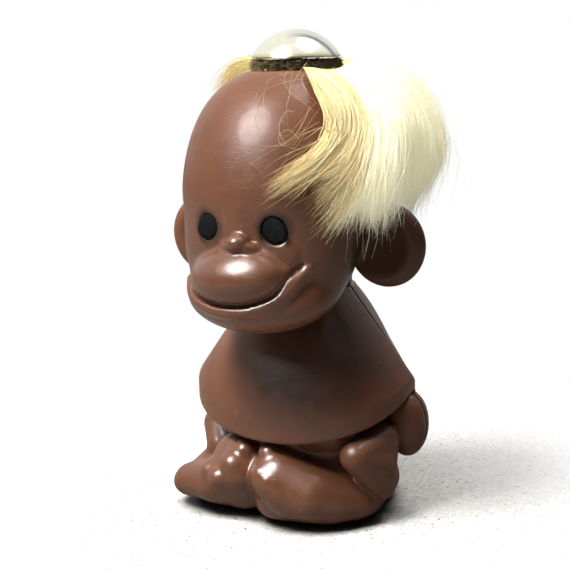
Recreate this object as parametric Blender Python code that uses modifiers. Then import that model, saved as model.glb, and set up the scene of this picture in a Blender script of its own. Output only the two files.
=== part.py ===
"""Plastic toy monkey: a hollow moulded figure with a swivelling head, inset eyes and a tuft of fur under a cap.

The body and the head are each a front and a back shell that meet at the plane Y = 0. The neck of the head
has a flange that the collar of the body traps, so the head turns about the upright axis X = Y = 0.
The monkey faces -Y and its left hand is at +X. Z = 0 is the surface that it sits on. The crown, with the cap
on it, lies a little in front of the neck.
"""

import math

import bmesh
import bpy
from mathutils import Matrix, Vector
from mathutils.bvhtree import BVHTree

MM = 0.001

# Fits and walls
GAP = 0.3 * MM
TURN_GAP = 0.4 * MM
SWEEP_GAP = 0.9 * MM
HEAD_WALL = 2.3 * MM
BODY_WALL = 2.4 * MM

# Neck and collar
COLLAR_TOP = 42.6 * MM
COLLAR_RADIUS = 9.0 * MM
COLLAR_LIP = 1.8 * MM
NECK_RADIUS = 6.6 * MM
NECK_BORE = 5.0 * MM
NECK_ROOT_Z = 50.0 * MM
FLANGE_RADIUS = 8.5 * MM
FLANGE_THICKNESS = 1.6 * MM

# Garment: half widths and heights from the collar to the hem
HEM_HALF_WIDTH = 21.8 * MM
HEM_HALF_DEPTH = 18.4 * MM
HEM_SIDE_Z = 23.8 * MM
HEM_FRONT_Z = 16.3 * MM
BACK_SWELL = 1.6 * MM
FRONT_POWER = 0.84
BACK_POWER = 1.5
HEM_THICKNESS = 1.5 * MM
HEM_UNDERCUT = 2.4 * MM

# Head
CROWN_Y = -3.0 * MM
HEAD_WIDTH = 36.0 * MM
HEAD_DEPTH = 34.0 * MM
CROWN_Z = 83.1 * MM
EYE_SPACING = 13.0 * MM
EYE_Z = 57.2 * MM
EYE_WIDTH = 4.4 * MM
EYE_HEIGHT = 4.8 * MM
EYE_DEPTH = 1.3 * MM
NOSE_Z = 54.8 * MM
SMILE_GROOVE = 0.75 * MM
EAR_X = 18.6 * MM
EAR_Y = -5.6 * MM
EAR_Z = 52.2 * MM
EAR_HALF_WIDTH = 7.4 * MM
EAR_HALF_HEIGHT = 7.7 * MM
EAR_HALF_DEPTH = 2.7 * MM
EAR_CUP = 1.6 * MM

# Cap, pin and retaining nut
CAP_RADIUS = 8.25 * MM
CAP_HEIGHT = 5.1 * MM
CAP_SHEET = 0.6 * MM
PIN_RADIUS = 1.1 * MM
PIN_HEAD_RADIUS = 3.0 * MM
PIN_HEAD_THICKNESS = 0.8 * MM
CROWN_THICKNESS = 4.4 * MM
NUT_RADIUS = 3.6 * MM
NUT_THICKNESS = 0.8 * MM
PIN_TAIL = 2.2 * MM
HIDE_RADIUS = 7.4 * MM
HIDE_THICKNESS = 1.6 * MM

# Bottom plate
PLATE_HALF_WIDTH = 13.5 * MM
PLATE_HALF_DEPTH = 10.0 * MM
PLATE_THICKNESS = 2.0 * MM
PLATE_LEDGE = 1.3 * MM

# Locating pegs across the parting plane
PEG_RADIUS = 0.9 * MM
PEG_LENGTH = 2.2 * MM

# Fineness of the moulded forms
VOXEL = 0.8 * MM
RING_COUNT = 9
POINT_COUNT = 44
FORM_FACES = 2200
CORE_FACES = 600
LIMB_FACES = 1800
HAIR_FACES = 1800

# The smile, a little higher on the left, as (x, z) points on the face in millimetres
SMILE_LINE = (
    (-11.4, 47.6), (-9.5, 45.7), (-5.7, 44.4), (-0.9, 44.0), (3.8, 44.7), (6.6, 46.0), (8.6, 47.9), (9.8, 49.8),
    (10.8, 51.0),
)

# Arms, in millimetres: elbows as centres and radii, hands and forearms as (x, y, z, radius) points
LEFT_ELBOW = ((20.3, 0.6, 17), (3.9, 4.6, 6.4))
LEFT_HAND = ((16, -12.2, 14.4, 2.9), (17.3, -9.4, 10.9, 4), (18.4, -5.5, 13.6, 4.2), (16, -12.2, 14.4, 2.9))
RIGHT_ELBOW = ((-19.3, 0.6, 17), (3.7, 4.6, 6.2))
RIGHT_HAND = ((-13.6, -12, 13.8, 2.6), (-15.4, -9.2, 11.2, 3.4), (-17.6, -5.5, 13.6, 3.8), (-13.6, -12, 13.8, 2.6))

# Tuft of fur, in millimetres: its mass, and locks as (x, y, z, radius) points from the cap to the tip
HAIR_MASS = (
    ((10, -4, 76), (13, 13, 8.5)),
    ((12, 2, 71), (12, 13, 11.5)),
    ((1, 5, 74), (15, 8.5, 9)),
)
HAIR_LOCKS = (
    ((6.4, -12, 83.4, 1.2), (13, -18, 77, 2.2), (13.6, -20.6, 72.4, 2.4), (10.4, -24.6, 68, 1.8), (5.2, -27.4, 63.9, 0.8)),
    ((8.3, -11, 83.4, 1.6), (15.9, -17.4, 76.5, 2.6), (16, -20.5, 71, 2.8), (11, -25.5, 66.1, 2), (6, -27.2, 62.6, 0.8)),
    ((10.3, -9, 83, 2), (18.2, -16.8, 75.5, 3), (18.5, -19.5, 70, 3), (15, -23.3, 65.8, 2.2), (11.4, -24.6, 62.9, 0.8)),
    ((11, -7, 83, 2), (20, -17, 73.6, 3.2), (19.8, -20, 68, 3), (17.5, -21.6, 61.5, 2), (13, -22.9, 56.4, 0.8)),
    ((11, -5, 83, 2), (21.2, -14.5, 73.5, 3.4), (21.6, -17, 67, 3), (20.5, -17.6, 61, 2.2), (17.5, -16.4, 56, 0.8)),
    ((11, -3, 83, 2), (22.6, -10, 74, 3.6), (23, -11.5, 66.5, 3.2), (21.4, -12.4, 60.6, 2), (18.4, -11.2, 56, 0.8)),
    ((11, 0, 83, 2), (22.6, -3, 74, 3.8), (22.6, -3.4, 66.5, 3.4), (20.6, -3.8, 60.6, 2.2), (18.6, -3.6, 59.8, 1)),
    ((10, 3, 83, 2.4), (22, 4, 74, 4), (22.8, 4.5, 66, 3.6), (21, 4, 59.6, 2), (19.6, 2.6, 56, 0.8)),
    ((8, 5, 83, 2.6), (18, 11, 75, 4.2), (20, 12.6, 67, 3.8), (18.6, 12, 60.6, 2), (17.4, 10.4, 56.6, 0.8)),
    ((3, 7, 83, 2.6), (8, 13, 75, 4), (9, 14, 67, 3.6), (8.4, 13, 59, 2), (8, 11.6, 54.6, 0.8)),
    ((-3, 6, 83, 2.4), (-8, 10, 76, 3.4), (-10, 11.4, 69, 3), (-9.4, 11, 62.6, 1.8), (-9, 10, 58, 0.8)),
    ((-6, 1, 83, 1.6), (-12, 3.2, 82, 2), (-16.4, 4.4, 80, 1.8), (-19, 4.8, 76, 0.8)),
)

BIG = 100 * MM


def new_collection(name):
    collection = bpy.data.collections.new(name)
    bpy.context.scene.collection.children.link(collection)
    return collection


def material(name, colour, roughness, metallic=0.0):
    made = bpy.data.materials.new(name)
    made.use_nodes = True
    shader = made.node_tree.nodes["Principled BSDF"]
    shader.inputs["Base Color"].default_value = (*colour, 1.0)
    shader.inputs["Roughness"].default_value = roughness
    shader.inputs["Metallic"].default_value = metallic
    return made


def mesh_object(name, build, collection):
    """A new object whose mesh the function build fills through bmesh."""
    bm = bmesh.new()
    build(bm)
    bmesh.ops.recalc_face_normals(bm, faces=bm.faces)
    mesh = bpy.data.meshes.new(name)
    bm.to_mesh(mesh)
    bm.free()
    obj = bpy.data.objects.new(name, mesh)
    collection.objects.link(obj)
    return obj


def cutter(name, build):
    obj = mesh_object(name, build, CUTTERS)
    obj.hide_render = True
    obj.display_type = "WIRE"
    return obj


def add_ellipsoid(bm, centre, radii, turn=None, segments=28, rings=16):
    place = Matrix.Translation(centre) @ (turn or Matrix.Identity(4)) @ Matrix.Diagonal((*radii, 1.0))
    bmesh.ops.create_uvsphere(bm, u_segments=segments, v_segments=rings, radius=1.0, matrix=place)


def add_capsule(bm, start, start_radius, end, end_radius):
    """Two balls and the skin that wraps them both."""
    points = []
    for centre, radius in ((start, start_radius), (end, end_radius)):
        ball = bmesh.ops.create_uvsphere(
            bm, u_segments=16, v_segments=10, radius=radius, matrix=Matrix.Translation(centre)
        )
        points += ball["verts"]
    hull = bmesh.ops.convex_hull(bm, input=points)
    inside = list({item for item in hull["geom_interior"] if isinstance(item, bmesh.types.BMVert)})
    bmesh.ops.delete(bm, geom=inside, context="VERTS")


def add_limb(bm, points):
    """A limb through (x, y, z, radius) points in millimetres."""
    for start, end in zip(points, points[1:]):
        add_capsule(
            bm, Vector(start[:3]) * MM, start[3] * MM, Vector(end[:3]) * MM, end[3] * MM
        )


def add_box(bm, low, high):
    low, high = Vector(low), Vector(high)
    place = Matrix.Translation((low + high) / 2) @ Matrix.Diagonal((*(high - low), 1.0))
    bmesh.ops.create_cube(bm, size=1.0, matrix=place)


def add_cylinder(bm, start, end, radius, segments=24):
    start, end = Vector(start), Vector(end)
    along = end - start
    place = Matrix.Translation((start + end) / 2) @ along.to_track_quat("Z", "Y").to_matrix().to_4x4()
    bmesh.ops.create_cone(
        bm, cap_ends=True, segments=segments, radius1=radius, radius2=radius, depth=along.length, matrix=place
    )


def add_loft(bm, rings):
    """Closed skin through rings that all have the same number of points."""
    loops = [[bm.verts.new(point) for point in ring] for ring in rings]
    for lower, upper in zip(loops, loops[1:]):
        for i in range(len(lower)):
            j = (i + 1) % len(lower)
            bm.faces.new((lower[i], lower[j], upper[j], upper[i]))
    for loop, turned in ((loops[0], True), (loops[-1], False)):
        centre = bm.verts.new(sum((v.co for v in loop), Vector()) / len(loop))
        for i in range(len(loop)):
            pair = (loop[i], loop[(i + 1) % len(loop)])
            bm.faces.new((centre, *(reversed(pair) if turned else pair)))


def turned(name, profile, collection, steps=32):
    """A piece turned from (radius, z) points that run from the top down its outer side.

    A profile that ends where it starts is a closed ring.
    """
    mesh = bpy.data.meshes.new(name)
    closed = profile[0] == profile[-1]
    points = profile[:-1] if closed else profile
    count = len(points)
    edges = [(i, (i + 1) % count) for i in range(count if closed else count - 1)]
    mesh.from_pydata([(r, 0, z) for r, z in points], edges, [])
    obj = bpy.data.objects.new(name, mesh)
    collection.objects.link(obj)
    screw = obj.modifiers.new("turn", "SCREW")
    screw.axis = "Z"
    screw.steps = steps
    screw.render_steps = steps
    screw.use_merge_vertices = True
    screw.merge_threshold = 0.01 * MM
    return obj


def settle(obj):
    """Replaces the object's mesh by the result of its modifiers."""
    graph = bpy.context.evaluated_depsgraph_get()
    mesh = bpy.data.meshes.new_from_object(obj.evaluated_get(graph))
    obj.modifiers.clear()
    bm = bmesh.new()
    bm.from_mesh(mesh)
    bmesh.ops.remove_doubles(bm, verts=bm.verts, dist=0.003 * MM)
    bmesh.ops.dissolve_degenerate(bm, edges=bm.edges, dist=0.003 * MM)
    bmesh.ops.triangulate(bm, faces=[face for face in bm.faces if len(face.verts) > 4])
    bm.to_mesh(mesh)
    bm.free()
    obj.data = mesh
    return obj


def boolean(obj, other, operation):
    step = obj.modifiers.new(other.name, "BOOLEAN")
    step.operation = operation
    step.object = other
    step.solver = "EXACT"
    return settle(obj)


def blend(obj, voxel, passes, faces):
    """Fuses overlapping forms into one skin, rounds the creases between them and thins its faces."""
    fuse = obj.modifiers.new("fuse", "REMESH")
    fuse.mode = "VOXEL"
    fuse.voxel_size = voxel
    round_off = obj.modifiers.new("round", "SMOOTH")
    round_off.factor = 0.5
    round_off.iterations = passes
    settle(obj)
    thin = obj.modifiers.new("thin", "DECIMATE")
    thin.ratio = min(1.0, faces / (2.0 * len(obj.data.polygons)))
    return settle(obj)


def surface_point(tree, x, z):
    """The foremost point of a form at the given X and Z, and its outward normal."""
    point, normal, _, _ = tree.ray_cast(Vector((x, -BIG, z)), Vector((0, 1, 0)))
    return point, normal


def form_tree(obj):
    return BVHTree.FromObject(obj, bpy.context.evaluated_depsgraph_get())


def scaled(form, grow):
    """The form's centre, its radii moved outwards by grow, and its pitch as a matrix."""
    centre, radii, pitch = form
    return Vector(centre), tuple(r + grow for r in radii), Matrix.Rotation(math.radians(pitch), 4, "X")


def head_forms():
    """Centre, radii and forward pitch in degrees of the ellipsoids that the head is blended from."""
    half_width = HEAD_WIDTH / 2
    half_depth = HEAD_DEPTH / 2
    y = CROWN_Y
    return {
        "cranium": ((0, y - 8 * MM, 62 * MM), (half_width, half_depth - 0.6 * MM, 18 * MM), 0),
        "crown": ((0, y - 5.5 * MM, CROWN_Z - 15.1 * MM), (half_width - 0.6 * MM, half_depth, 16.5 * MM), 0),
        "cheeks": ((0, y - 12 * MM, 52.2 * MM), (half_width - 1.5 * MM, half_depth - 5.2 * MM, 13.2 * MM), 0),
        "jaw": ((0, y - 15.4 * MM, 45 * MM), (half_width - 3.8 * MM, half_depth - 6 * MM, 6.9 * MM), 12),
        "muzzle": ((0, y - 17 * MM, 48.8 * MM), (half_width - 6.4 * MM, half_depth - 5.8 * MM, 6.4 * MM), 0),
        "nape": ((0, y + 1 * MM, 53 * MM), (half_width - 7 * MM, half_depth - 5 * MM, 10 * MM), 0),
    }


def garment_rings():
    """Plan rings of the garment from collar to hem: full in front, and drawn to a ridge at both sides."""
    rings = []
    for i in range(RING_COUNT):
        u = i / (RING_COUNT - 1)
        spread = min(1.0, u / 0.86)
        side = COLLAR_RADIUS + (HEM_HALF_WIDTH - COLLAR_RADIUS) * spread
        front = COLLAR_RADIUS + (HEM_HALF_DEPTH - COLLAR_RADIUS) * math.sin(spread * math.pi / 2) ** 0.9
        back = front + BACK_SWELL * math.sin(spread * math.pi)
        side_z = COLLAR_TOP - (COLLAR_TOP - HEM_SIDE_Z) * u
        front_z = COLLAR_TOP - (COLLAR_TOP - HEM_FRONT_Z) * u ** 1.15
        drawn = min(1.0, 2.0 * u)
        ring = []
        for k in range(POINT_COUNT):
            angle = 2 * math.pi * k / POINT_COUNT
            across = abs(math.sin(angle))
            if math.sin(angle) > 0:
                y = back * across ** (1.0 + (BACK_POWER - 1.0) * drawn)
            else:
                y = -front * across ** (1.0 + (FRONT_POWER - 1.0) * drawn)
            ring.append((side * math.cos(angle), y, side_z + (front_z - side_z) * across))
        rings.append(ring)
    return rings


def shrunk(ring, inwards, upwards):
    moved = []
    for x, y, z in ring:
        length = math.hypot(x, y)
        share = (length - inwards) / length
        moved.append((x * share, y * share, z + upwards))
    return moved


def build_garment(bm):
    rings = garment_rings()
    rings.append(shrunk(rings[-1], HEM_THICKNESS, 0.2 * MM))
    rings.append(shrunk(rings[-1], 0.3 * MM, HEM_UNDERCUT))
    add_loft(bm, rings)


def ellipse_ring(half_width, half_depth, z, points=40):
    turn = [2 * math.pi * k / points for k in range(points)]
    return [(half_width * math.cos(a), half_depth * math.sin(a), z) for a in turn]


def body_core(bm):
    """The hollow inside the body, from the bottom opening to the underside of the collar lip."""
    lip_z = COLLAR_TOP - COLLAR_LIP
    rest_z = PLATE_THICKNESS + GAP
    wide = HEM_HALF_WIDTH - 3 * BODY_WALL
    deep = HEM_HALF_DEPTH - 2.5 * BODY_WALL
    rebate = (PLATE_HALF_WIDTH + GAP, PLATE_HALF_DEPTH + GAP)
    ledge = (PLATE_HALF_WIDTH - PLATE_LEDGE, PLATE_HALF_DEPTH - PLATE_LEDGE)
    pocket = FLANGE_RADIUS + TURN_GAP
    add_loft(bm, [
        ellipse_ring(*rebate, -1 * MM),
        ellipse_ring(*rebate, rest_z),
        ellipse_ring(*ledge, rest_z),
        ellipse_ring(*ledge, rest_z + 2 * MM),
        ellipse_ring(wide, deep - 0.6 * MM, 12 * MM),
        ellipse_ring(wide, deep, 22 * MM),
        ellipse_ring(wide - 3.2 * MM, deep - 0.8 * MM, 31 * MM),
        ellipse_ring(pocket, pocket, lip_z - FLANGE_THICKNESS - 2 * TURN_GAP),
        ellipse_ring(pocket, pocket, lip_z),
    ])


def build_limbs(bm):
    """Seat, folded legs, arms and hands, in millimetres."""
    add_ellipsoid(bm, Vector((0, 1, 3)) * MM, (18 * MM, 15.5 * MM, 14 * MM))
    add_ellipsoid(bm, Vector((0, 0, 19)) * MM, (17.6 * MM, 14.8 * MM, 13 * MM))
    add_ellipsoid(bm, Vector((0, -8, 9)) * MM, (15 * MM, 8 * MM, 5.5 * MM))
    add_limb(bm, [(0.4, -15.2, 9.1, 6), (7.6, -13.4, 7.2, 6.3), (12.2, -8, 6, 6.2), (11.8, 3, 6, 6.6)])
    add_limb(bm, [(0.9, -13.8, 3.4, 5.6), (9, -11.6, 3, 5.9), (11.8, -6, 2.6, 6)])
    add_limb(bm, [(-5.4, -15.2, 8.8, 5.2), (-12.5, -14.6, 5.6, 4.9), (-19.4, -13.8, 4.2, 3.4)])
    add_limb(bm, [(-6, -13.2, 3.4, 4.6), (-13, -12.6, 3, 4.2), (-18.5, -12.6, 2.6, 2.8)])
    add_limb(bm, [(-18.6, -13, 4, 3.5), (-15.5, -5, 5.6, 5.6), (-12.6, 3, 6, 6.6)])
    for elbow, hand in ((LEFT_ELBOW, LEFT_HAND), (RIGHT_ELBOW, RIGHT_HAND)):
        add_ellipsoid(bm, Vector(elbow[0]) * MM, Vector(elbow[1]) * MM)
        add_limb(bm, hand)


def place_eye(bm, point, normal, half_width, half_height, depth):
    turn = normal.to_track_quat("-Y", "Z").to_matrix().to_4x4()
    add_ellipsoid(bm, point, (half_width, depth, half_height), turn, 18, 10)


def build_head(plastic):
    """The whole outer head before it is parted, and the tree of its blended surface."""
    forms = head_forms()
    head = mesh_object("head_form", lambda bm: [
        *(add_ellipsoid(bm, *scaled(form, 0.0), segments=48, rings=28) for form in forms.values()),
        add_cylinder(bm, (0, 0, COLLAR_TOP + TURN_GAP), (0, 0, NECK_ROOT_Z), COLLAR_RADIUS - TURN_GAP),
    ], PARTS)
    blend(head, VOXEL, 10, FORM_FACES)
    tree = form_tree(head)
    nose, _ = surface_point(tree, 0, NOSE_Z)
    features = cutter("features", lambda bm: [
        add_ellipsoid(bm, nose + Vector((0, 0.2, 1.2)) * MM, (1.5 * MM, 1.5 * MM, 1.5 * MM)),
        add_ellipsoid(bm, nose + Vector((-1.7, 0.5, 0)) * MM, (1.8 * MM, 1.6 * MM, 1.2 * MM)),
        add_ellipsoid(bm, nose + Vector((1.7, 0.5, 0)) * MM, (1.8 * MM, 1.6 * MM, 1.2 * MM)),
    ])
    blend(features, 0.3 * MM, 3, 260)
    boolean(head, features, "UNION")
    for side in (-1, 1):
        ear = cutter("ear", lambda bm: add_ellipsoid(
            bm, (side * EAR_X, EAR_Y, EAR_Z), (EAR_HALF_WIDTH, EAR_HALF_DEPTH, EAR_HALF_HEIGHT), None, 20, 10
        ))
        hollow = cutter("ear_hollow", lambda bm: add_ellipsoid(
            bm,
            (side * (EAR_X - 0.6 * MM), EAR_Y - EAR_HALF_DEPTH - 0.2 * MM, EAR_Z - 0.2 * MM),
            (EAR_HALF_WIDTH - EAR_CUP, EAR_HALF_DEPTH, EAR_HALF_HEIGHT - EAR_CUP),
            None, 16, 8,
        ))
        boolean(ear, hollow, "DIFFERENCE")
        boolean(head, ear, "UNION")
    smile = [surface_point(tree, x * MM, z * MM)[0] for x, z in SMILE_LINE]
    groove = tube("smile_groove", smile, SMILE_GROOVE, CUTTERS)
    boolean(head, groove, "DIFFERENCE")
    head.data.materials.clear()
    head.data.materials.append(plastic)
    return head, tree


def tube(name, points, radius, collection, radii=None):
    """A round rod along the points, made a closed mesh."""
    curve = bpy.data.curves.new(name, "CURVE")
    curve.dimensions = "3D"
    curve.bevel_depth = radius
    curve.bevel_resolution = 1
    curve.use_fill_caps = True
    spline = curve.splines.new("POLY")
    spline.points.add(len(points) - 1)
    for i, (spot, point) in enumerate(zip(spline.points, points)):
        spot.co = (*point, 1.0)
        spot.radius = radii[i] if radii else 1.0
    source = bpy.data.objects.new(name + "_path", curve)
    collection.objects.link(source)
    graph = bpy.context.evaluated_depsgraph_get()
    mesh = bpy.data.meshes.new_from_object(source.evaluated_get(graph))
    bpy.data.objects.remove(source)
    bm = bmesh.new()
    bm.from_mesh(mesh)
    bmesh.ops.remove_doubles(bm, verts=bm.verts, dist=0.01 * MM)
    bmesh.ops.recalc_face_normals(bm, faces=bm.faces)
    bm.to_mesh(mesh)
    bm.free()
    obj = bpy.data.objects.new(name, mesh)
    obj.hide_render = collection is CUTTERS
    obj.display_type = "WIRE" if collection is CUTTERS else "TEXTURED"
    collection.objects.link(obj)
    return obj


def half(whole, name, front):
    """The part of a form before or behind the parting plane."""
    piece = whole.copy()
    piece.data = whole.data.copy()
    piece.name = name
    PARTS.objects.link(piece)
    edge = GAP / 2
    low_y, high_y = (-BIG, -edge) if front else (edge, BIG)
    side = cutter(name + "_side", lambda bm: add_box(bm, (-BIG, low_y, -BIG), (BIG, high_y, 2 * BIG)))
    return boolean(piece, side, "INTERSECT")


def add_pegs(front, back, places):
    for x, z in places:
        peg = cutter("peg", lambda bm: add_cylinder(bm, (x, -2 * PEG_LENGTH, z), (x, PEG_LENGTH, z), PEG_RADIUS))
        socket = cutter("socket", lambda bm: add_cylinder(
            bm, (x, -BIG, z), (x, PEG_LENGTH + GAP, z), PEG_RADIUS + GAP
        ))
        boolean(front, peg, "UNION")
        boolean(back, socket, "DIFFERENCE")


def head_core(bm):
    forms = head_forms()
    top = CROWN_Z - CROWN_THICKNESS
    for name in ("cranium", "crown", "cheeks", "jaw"):
        centre, radii, turn = scaled(forms[name], -HEAD_WALL)
        radii = (radii[0], radii[1], min(radii[2], top - centre.z))
        add_ellipsoid(bm, centre, radii, turn, 32, 18)
    add_cylinder(bm, (0, 0, NECK_ROOT_Z - HEAD_WALL), (0, 0, NECK_ROOT_Z + 10 * MM), NECK_BORE)


def height_at(column, radius):
    """Height of a line of (radius, z) points, or 0 beyond its end."""
    for (r0, z0), (r1, z1) in zip(column, column[1:]):
        if r0 <= radius <= r1 and r1 > r0:
            return z0 + (z1 - z0) * (radius - r0) / (r1 - r0)
    return 0.0


def sweep_space():
    """A turned cutter under the head that clears the highest line of the garment when the head turns."""
    columns = [[(math.hypot(x, y), z) for x, y, z in column] for column in zip(*garment_rings())]
    reach = min(column[-1][0] for column in columns)
    start = COLLAR_RADIUS + TURN_GAP
    radii = [start + (reach - start) * k / RING_COUNT for k in range(RING_COUNT)]
    line = [(r, max(height_at(column, r) for column in columns) + SWEEP_GAP) for r in radii]
    profile = [(0, COLLAR_TOP + TURN_GAP), *line, (HEAD_WIDTH, line[-1][1] - HEAD_WALL), (HEAD_WIDTH, 0), (0, 0)]
    space = turned("sweep_space", profile, CUTTERS)
    space.hide_render = True
    space.display_type = "WIRE"
    return settle(space)


def make_head(plastic, eye_material):
    whole, tree = build_head(plastic)
    boolean(whole, sweep_space(), "DIFFERENCE")
    flat = cutter("crown_seat", lambda bm: add_box(bm, (-BIG, -BIG, CROWN_Z), (BIG, BIG, 2 * BIG)))
    boolean(whole, flat, "DIFFERENCE")
    flange_top = COLLAR_TOP - COLLAR_LIP - TURN_GAP
    flange_bottom = flange_top - FLANGE_THICKNESS
    neck_top = (COLLAR_TOP + NECK_ROOT_Z) / 2
    neck = turned("neck", [
        (0, neck_top),
        (NECK_RADIUS, neck_top),
        (NECK_RADIUS, flange_top),
        (FLANGE_RADIUS, flange_top),
        (FLANGE_RADIUS, flange_bottom),
        (0, flange_bottom),
    ], CUTTERS)
    neck.hide_render = True
    neck.display_type = "WIRE"
    boolean(whole, settle(neck), "UNION")
    core = cutter("head_core", head_core)
    blend(core, 1.2 * MM, 2, CORE_FACES)
    bore = cutter("bore", lambda bm: add_cylinder(bm, (0, 0, 30 * MM), (0, 0, NECK_ROOT_Z + HEAD_WALL), NECK_BORE, 32))
    ceiling = CROWN_Z - CROWN_THICKNESS
    nut_seat = cutter("nut_seat", lambda bm: add_cylinder(
        bm, (0, CROWN_Y, ceiling - 2 * CROWN_THICKNESS), (0, CROWN_Y, ceiling), NUT_RADIUS + 2 * GAP
    ))
    pin_hole = cutter("pin_hole", lambda bm: add_cylinder(
        bm, (0, CROWN_Y, ceiling - CROWN_THICKNESS), (0, CROWN_Y, CROWN_Z + CROWN_THICKNESS), PIN_RADIUS + GAP
    ))
    for tool in (core, bore, nut_seat, pin_hole):
        boolean(whole, tool, "DIFFERENCE")
    eyes = []
    for side, name in ((-1, "right_eye"), (1, "left_eye")):
        point, normal = surface_point(tree, side * EYE_SPACING / 2, EYE_Z)
        socket = cutter("eye_socket", lambda bm: place_eye(
            bm, point, normal, EYE_WIDTH / 2 + GAP, EYE_HEIGHT / 2 + GAP, EYE_DEPTH + GAP
        ))
        boolean(whole, socket, "DIFFERENCE")
        eye = mesh_object(name, lambda bm: place_eye(
            bm, point, normal, EYE_WIDTH / 2, EYE_HEIGHT / 2, EYE_DEPTH
        ), PARTS)
        outside = cutter("eye_face", lambda bm: add_box(
            bm, (-BIG, -BIG, -BIG), (BIG, BIG, 0)
        ))
        outside.data.transform(
            Matrix.Translation(point) @ (-normal).to_track_quat("Z", "Y").to_matrix().to_4x4()
        )
        boolean(eye, outside, "DIFFERENCE")
        eye.data.materials.append(eye_material)
        eyes.append(eye)
    front = half(whole, "head_front", True)
    back = half(whole, "head_back", False)
    bpy.data.objects.remove(whole)
    nape, nape_radii, _ = head_forms()["nape"]
    nape_x = (NECK_BORE + nape_radii[0]) / 2 - GAP
    nape_z = nape[2] - HEAD_WALL
    crown_z = CROWN_Z - CROWN_THICKNESS / 2
    crown_x = 3 * PIN_RADIUS + PEG_RADIUS
    add_pegs(front, back, [(-nape_x, nape_z), (nape_x, nape_z), (-crown_x, crown_z), (crown_x, crown_z)])
    return [front, back, *eyes]


def make_body(plastic):
    whole = mesh_object("body_form", build_limbs, PARTS)
    blend(whole, VOXEL, 7, LIMB_FACES)
    garment = cutter("garment", build_garment)
    boolean(whole, garment, "UNION")
    ground = cutter("ground", lambda bm: add_box(bm, (-BIG, -BIG, -BIG), (BIG, BIG, 0)))
    boolean(whole, ground, "DIFFERENCE")
    collar_hole = cutter("collar_hole", lambda bm: add_cylinder(
        bm, (0, 0, 30 * MM), (0, 0, 60 * MM), NECK_RADIUS + TURN_GAP, 32
    ))
    core = cutter("body_core", body_core)
    for tool in (core, collar_hole):
        boolean(whole, tool, "DIFFERENCE")
    whole.data.materials.clear()
    whole.data.materials.append(plastic)
    front = half(whole, "body_front", True)
    back = half(whole, "body_back", False)
    bpy.data.objects.remove(whole)
    low_x = PLATE_HALF_WIDTH + GAP + 2.4 * PEG_RADIUS
    low_z = PLATE_THICKNESS + GAP + 2.4 * PEG_RADIUS
    shoulder_x = FLANGE_RADIUS + TURN_GAP + 3.6 * PEG_RADIUS
    shoulder_z = COLLAR_TOP - COLLAR_LIP - FLANGE_THICKNESS - 3.6 * PEG_RADIUS
    add_pegs(front, back, [(-low_x, low_z), (low_x, low_z), (-shoulder_x, shoulder_z), (shoulder_x, shoulder_z)])
    plate = mesh_object("base_plate", lambda bm: add_loft(bm, [
        ellipse_ring(PLATE_HALF_WIDTH, PLATE_HALF_DEPTH, 0),
        ellipse_ring(PLATE_HALF_WIDTH, PLATE_HALF_DEPTH, PLATE_THICKNESS),
    ]), PARTS)
    plate.data.materials.append(plastic)
    return [front, back, plate]


def dome_arc(rim_radius, height, base_z, steps=9):
    """Points of a dome's section from its top to its rim."""
    sphere = (rim_radius * rim_radius + height * height) / (2 * height)
    reach = math.asin(rim_radius / sphere)
    arc = [reach * k / steps for k in range(steps + 1)]
    return [(sphere * math.sin(a), base_z + height - sphere + sphere * math.cos(a)) for a in arc]


def make_cap(cap_metal, pin_metal, hide_material):
    hide_bottom = CROWN_Z + GAP
    hide_top = hide_bottom + HIDE_THICKNESS
    rim_z = hide_top + GAP
    outer = dome_arc(CAP_RADIUS, CAP_HEIGHT, rim_z)
    inner = dome_arc(CAP_RADIUS - CAP_SHEET, CAP_HEIGHT - CAP_SHEET, rim_z)
    dome = turned("cap_dome", [*outer, *reversed(inner)], PARTS)
    dome.data.materials.append(cap_metal)
    hide = turned("hide_disc", [
        (PIN_RADIUS + GAP, hide_top),
        (HIDE_RADIUS - 0.3 * MM, hide_top),
        (HIDE_RADIUS, hide_top - 0.4 * MM),
        (HIDE_RADIUS, hide_bottom),
        (PIN_RADIUS + GAP, hide_bottom),
        (PIN_RADIUS + GAP, hide_top),
    ], PARTS)
    hide.data.materials.append(hide_material)
    head_top = rim_z + CAP_HEIGHT - CAP_SHEET - GAP
    nut_top = CROWN_Z - CROWN_THICKNESS - GAP
    nut_bottom = nut_top - NUT_THICKNESS
    pin = turned("cap_pin", [
        (0, head_top),
        (PIN_HEAD_RADIUS * 0.8, head_top - 0.35 * MM),
        (PIN_HEAD_RADIUS, head_top - PIN_HEAD_THICKNESS),
        (PIN_RADIUS, head_top - PIN_HEAD_THICKNESS),
        (PIN_RADIUS, nut_bottom - PIN_TAIL + PIN_RADIUS),
        (0, nut_bottom - PIN_TAIL),
    ], PARTS)
    pin.data.materials.append(pin_metal)
    nut = turned("push_nut", [
        (PIN_RADIUS + GAP, nut_top),
        (NUT_RADIUS, nut_top),
        (NUT_RADIUS, nut_bottom),
        (PIN_RADIUS + GAP, nut_bottom),
        (PIN_RADIUS + GAP, nut_top),
    ], PARTS)
    nut.data.materials.append(pin_metal)
    for piece in (dome, hide, pin, nut):
        piece.location.y = CROWN_Y
    return [dome, hide, pin, nut]


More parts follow.
